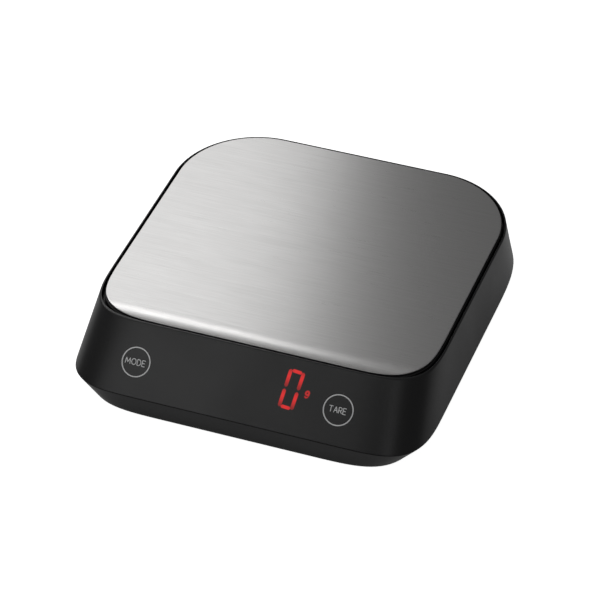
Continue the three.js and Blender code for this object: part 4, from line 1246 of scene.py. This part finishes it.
def main_board():
    """The circuit board with its screw holes, and copper traces and pads just proud of its back."""
    back = -BOARD["front"] - BOARD["thick"]
    half, face = BOARD["half"], -BOARD["front"]
    sheet = block(around(0, half), (BOARD["low"], BOARD["high"]), (back, face), 0.06, 0.8)
    board = mesh_object("main_board_sheet", in_panel([sheet]), BOARD_GREEN)
    holes = [post(x, y, (back - 1, face + 1), BOARD_HOLE) for x, y in BOARD_SCREWS]
    shaped(board, [("DIFFERENCE", in_panel(holes))])
    settle(board, "casing", "green_board", "main_board")
    pads = [
        block((x, x + 0.9), (y, y + 1.3), (back - 0.06, back + 0.03), 0.02)
        for y in (-9.6, 9.9) for x in np.arange(-46, 47, 4.0)
    ]
    tracks = ((-38, 9), (-29, 9), (-12, 9.5), (12, 9.5), (28, 9), (38, 9), (46, 9))
    pads += [block(around(x, 0.2), (-9, y), (back - 0.05, back + 0.03), 0.015) for x, y in tracks]
    settle(mesh_object("board_copper", in_panel(pads), SOLDER), "casing", "green_board")


def chips():
    """Both chips as bevelled resin bodies, with their bent leads as one more piece."""
    for name, x, y, height, four_rows in (
        ("controller_chip", (-6, 6), (-5, 7), 1.5, True), ("converter_chip", (-24, -18), (-4, 0), 1.3, False),
    ):
        top = PARTS_FACE - height
        dot = [(0, top - 0.01), (0.4, top - 0.01), (0.4, PARTS_FACE - 0.3), (0, PARTS_FACE - 0.3)]
        body = [block(x, y, (top, PARTS_FACE), 0.15, 0.3), revolved(dot, (x[0] + 1.1, y[0] + 1.0), 24)]
        settle(mesh_object(f"{name}_body", in_panel(body), CHIP), "casing", "chip", name)
        z = (PARTS_FACE + 0.2 - 0.5, PARTS_FACE + 0.2 + 0.08)
        feet_of = lambda side: ((side[0] - 1.1, side[0] + 0.1), (side[1] - 0.1, side[1] + 1.1))
        steps_along = lambda side: np.arange(side[0] + 0.8, side[1] - 0.5, 0.8)
        leads = [block(around(at, 0.17), foot, z, 0.05) for at in steps_along(x) for foot in feet_of(y)]
        if four_rows:
            leads += [block(foot, around(at, 0.17), z, 0.05) for at in steps_along(y) for foot in feet_of(x)]
        settle(mesh_object(f"{name}_leads", in_panel(leads), SOLDER), "casing", "spring_steel")


def small_parts():
    """Resistors and capacitors between the chips: dark bodies with tinned ends."""
    places = (
        (-14.5, 6), (-14.5, 2), (-9.2, -8), (10.5, 5), (10.5, 1), (31, 6),
        (31, 2), (36, -4), (-43, 6), (-43, 2), (-47, -6), (42, 6),
    )
    face = PARTS_FACE + 0.28
    bodies = [block(around(x, 0.9), around(y, 0.6), (face - 0.7, face), 0.08) for x, y in places]
    ends = [
        block(around(x + s * 1.15, 0.3), around(y, 0.65), (face - 0.72, face), 0.08)
        for x, y in places for s in (-1, 1)
    ]
    settle(mesh_object("resistors", in_panel(bodies), CHIP), "casing", "chip")
    settle(mesh_object("resistor_ends", in_panel(ends), SOLDER), "casing", "spring_steel")


def connectors():
    """Wire-to-board headers: an open nylon shell with a keyway, and its pins."""
    for name, middle, half in (("load_cell_connector", -33.0, 5.0), ("battery_connector", 20.0, 3.5)):
        end = PARTS_FACE - 5
        shell = [block(around(middle, half), (-8, -2), (end, PARTS_FACE), 0.2, 0.35)]
        shell = mesh_object(f"{name}_shell", in_panel(shell), NYLON)
        key = block(around(middle, half - 1.5), (-2.6, -1), (end - 1, PARTS_FACE - 1.5), 0.1)
        shaped(shell, [("DIFFERENCE", in_panel([key]))])
        settle(shell, "casing", "connector", name)
        pins = [
            block(around(x, 0.3), (-9.6, -8.05), (PARTS_FACE - 0.5, PARTS_FACE + 0.25), 0.08)
            for x in np.arange(middle - half + 1.25, middle + half - 0.8, 2.0)
        ]
        settle(mesh_object(f"{name}_pins", in_panel(pins), SOLDER), "casing", "spring_steel")


def bar_segment(start, end, half, z):
    """One display bar: a flat six-sided prism from start to end with pointed ends."""
    start, end = np.array(start, float), np.array(end, float)
    along = (end - start) / np.linalg.norm(end - start)
    across = np.array([-along[1], along[0]]) * half
    shoulder, neck = start + along * half, end - along * half
    loop = np.array([start, shoulder + across, neck + across, end, neck - across, shoulder - across])
    return rings([level(loop, z[0]), level(loop, z[1])])


def display():
    """The display behind the panel: a dark body with four figures of seven bars, under a red filter."""
    back_of_filter = -DISPLAY["front"] - DISPLAY["filter"]
    glass = block(DISPLAY["x"], DISPLAY["y"], (back_of_filter, -DISPLAY["front"]), 0.1, 0.4)
    glass = mesh_object("display_filter_sheet", in_panel([glass]), FILTER_RED)
    settle(glass, "casing", "red_filter", "display_filter")
    face = back_of_filter - GAP
    body = block(DISPLAY["x"], DISPLAY["y"], (-DISPLAY["back"], face), 0.2, 0.4)
    body = mesh_object("display_module_body", in_panel([body]), DISPLAY_BODY)
    settle(body, "casing", "display_body", "display_module")
    bars = []
    for shift in np.arange(4) * -11.4:
        corner = lambda u, v: (16.25 + 3.9 * u + 1.9 * v + shift, -4.3 + 13.6 * v)
        uprights = [((u, high), (u, low)) for high, low in ((1, 0.53), (0.47, 0)) for u in (0, 1)]
        levels = [((0.1, v), (0.9, v)) for v in (1, 0.5, 0)]
        bars += [
            bar_segment(corner(*a), corner(*b), 0.7, (face - 0.2, face + 0.15)) for a, b in uprights + levels
        ]
    settle(mesh_object("display_bars", in_panel(bars), SEGMENT), "casing", "display_body")


def touch_springs():
    for name, x in (("touch_spring_mode", -45.8), ("touch_spring_tare", 39.6)):
        spring = placed(coil(-8.2, -2.9, 3.08, 4.4, 4.5, 0.4), Matrix.Translation((x, -1.1, 0)))
        settle(mesh_object(f"{name}_coil", in_panel([spring]), SPRING), "casing", "spring_steel", name)


def plug_end(x, out):
    """A place outside the open end of a connector."""
    return tuple(np.array([x, -5, PARTS_FACE - 5 - out]) @ PANEL[:3, :3].T + PANEL[:3, 3])


def wires():
    """The load cell's cable and the two battery wires, on smooth curves through their clips."""
    routes = (
        ("load_cell_cable", 1.1, GREY_CABLE, "grey_cable", [
            (-10, 9.7, 19.5), (-12, 5, 20), (-13, 0.5, 17.5), (-16, -8, 9.5), (-22, -22, 6), (-30, -40, 5.8),
            plug_end(-33, 2), plug_end(-33, GAP),
        ]),
        ("battery_wire_red", 0.7, RED_WIRE, "red_wire", [
            (-27.2, 54.1, 9), (-33.2, 50.1, 8), (-42, 36, 5.5), (-44, 8, 5), (-42, -14, 7), (-34, -26, 11),
            (-20, -34, 11), (0, -44, 7), plug_end(18.4, 2), plug_end(18.4, GAP),
        ]),
        ("battery_wire_black", 0.7, BLACK_WIRE, "black_wire", [
            (27.2, 32.3, 9), (33.2, 27.3, 8), (46, 14, 5), (44, -14, 5), (32, -34, 5),
            plug_end(21.6, 2), plug_end(21.6, GAP),
        ]),
    )
    for name, radius, material, slot, route in routes:
        path = smooth_path(route, 160)
        settle(mesh_object(f"{name}_run", [swept(path, radius, 18)], material), "casing", slot, name)


for make in (
    battery_door, feet, battery_cells, contacts, screws, load_cell, sealant, overload_stop, main_board,
    chips, small_parts, connectors, display, touch_springs, wires,
):
    make()

# ---------------------------------------------------------------- camera, floor and light


def towards(thing, place, target, roll=0.0):
    """Puts a camera or light at a place, looking at a target, turned about its own axis by roll."""
    back = (Vector(place) - Vector(target)).normalized()
    turn = back.to_track_quat("Z", "Y").to_matrix().to_4x4()
    thing.matrix_world = Matrix.Translation(place) @ turn @ Matrix.Rotation(roll, 4, "Z")


def camera():
    """A long lens, a little right of the front and 40 degrees above the floor."""
    azimuth, elevation, roll = np.radians((21.277, 39.822, -1.179)).tolist()
    target = Vector((7.65, -23.78, 33.4)) * MM
    level_part = math.cos(elevation)
    back = Vector((math.sin(azimuth) * level_part, -math.cos(azimuth) * level_part, math.sin(elevation)))
    data = bpy.data.cameras.new("camera")
    data.lens, data.sensor_width = 181.96, 36.0
    data.clip_start, data.clip_end = 0.05, 50.0
    made = new_object("camera", data)
    towards(made, target + back * 1.21116, target, roll)
    bpy.context.scene.camera = made


def softbox(name, place, target, size, radiance):
    """A rectangular lamp of a given size in metres, whose face has the given radiance."""
    data = bpy.data.lights.new(name, "AREA")
    data.shape = "RECTANGLE"
    data.size, data.size_y = size
    data.energy = radiance * math.pi * size[0] * size[1]
    towards(new_object(name, data), place, target)


def floor():
    """A wide pale floor, clear from below. It looks bright and adds little light of its own."""
    material, tree, shader = new_material("pale_floor", Roughness=0.9, Specular_IOR_Level=0.1)
    seen = node(tree, "ShaderNodeLightPath").outputs["Is Camera Ray"]
    tree.links.new(spread(tree, seen, 0.0, 1.0, 0.12, 0.95), shader.inputs["Emission Strength"])
    out = next(n for n in tree.nodes if n.type == "OUTPUT_MATERIAL")
    below = node(tree, "ShaderNodeNewGeometry").outputs["Backfacing"]
    clear = node(tree, "ShaderNodeBsdfTransparent").outputs[0]
    shown = node(tree, "ShaderNodeMixShader", {0: below, 2: clear})
    tree.links.new(shader.outputs[0], shown.inputs[1])
    tree.links.new(shown.outputs[0], out.inputs["Surface"])
    texture = use_group(tree, HANDLING, Patch_mm=400.0)
    pale = tint(tree, texture.outputs[0], (0.84, 0.84, 0.84), (0.87, 0.87, 0.87))
    tree.links.new(pale, shader.inputs["Base Color"])
    shader.inputs["Emission Color"].default_value = (1, 1, 1, 1)
    reach, cells = 8000.0, 8
    rows = np.linspace(-reach, reach, cells + 1)
    grid = np.stack(np.meshgrid(rows, rows, [-0.05], indexing="ij"), -1).reshape(-1, 3)
    start = (np.arange(cells)[:, None] * len(rows) + np.arange(cells)).ravel()
    quads = np.c_[start, start + len(rows), start + len(rows) + 1, start + 1]
    mesh = bpy.data.meshes.new("floor")
    mesh.from_pydata(grid * MM, [], quads.tolist())
    mesh.materials.append(material)
    new_object("floor", mesh)


SURROUNDINGS = 0.13
# Each softbox: its place, what it faces, its width and length, all in metres, and its radiance.
SOFTBOXES = {
    "softbox_back_left_low": ((-0.342, 0.345, 0.345), (-0.342, 0.01, 0.03), (0.424, 0.3), 1.25),
    "softbox_back_left_middle": ((-0.345, 0.13, 0.5), (-0.345, -0.05, 0.03), (0.44, 0.11), 3.5),
    "softbox_back_left_high": ((-0.43, -0.1, 0.51), (-0.4, -0.056, 0.03), (0.34, 0.15), 1.1),
    "softbox_front_left": ((-0.235, -0.47, 0.42), (0.0, -0.06, 0.02), (0.25, 0.46), 0.95),
    "softbox_front": ((0.17, -0.54, 0.52), (0.05, -0.06, 0.02), (0.1, 0.4), 1.0),
}


def studio():
    """Dim even surroundings, three softboxes above the left side and two in front."""
    scene = bpy.context.scene
    scene.world = bpy.data.worlds.new("studio")
    scene.world.use_nodes = True
    surroundings = scene.world.node_tree.nodes["Background"]
    surroundings.inputs["Color"].default_value = (1, 1, 1, 1)
    surroundings.inputs["Strength"].default_value = SURROUNDINGS
    scene.view_settings.view_transform = "Standard"
    for name, (place, target, size, radiance) in SOFTBOXES.items():
        softbox(name, place, target, size, radiance)


camera()
floor()
studio()
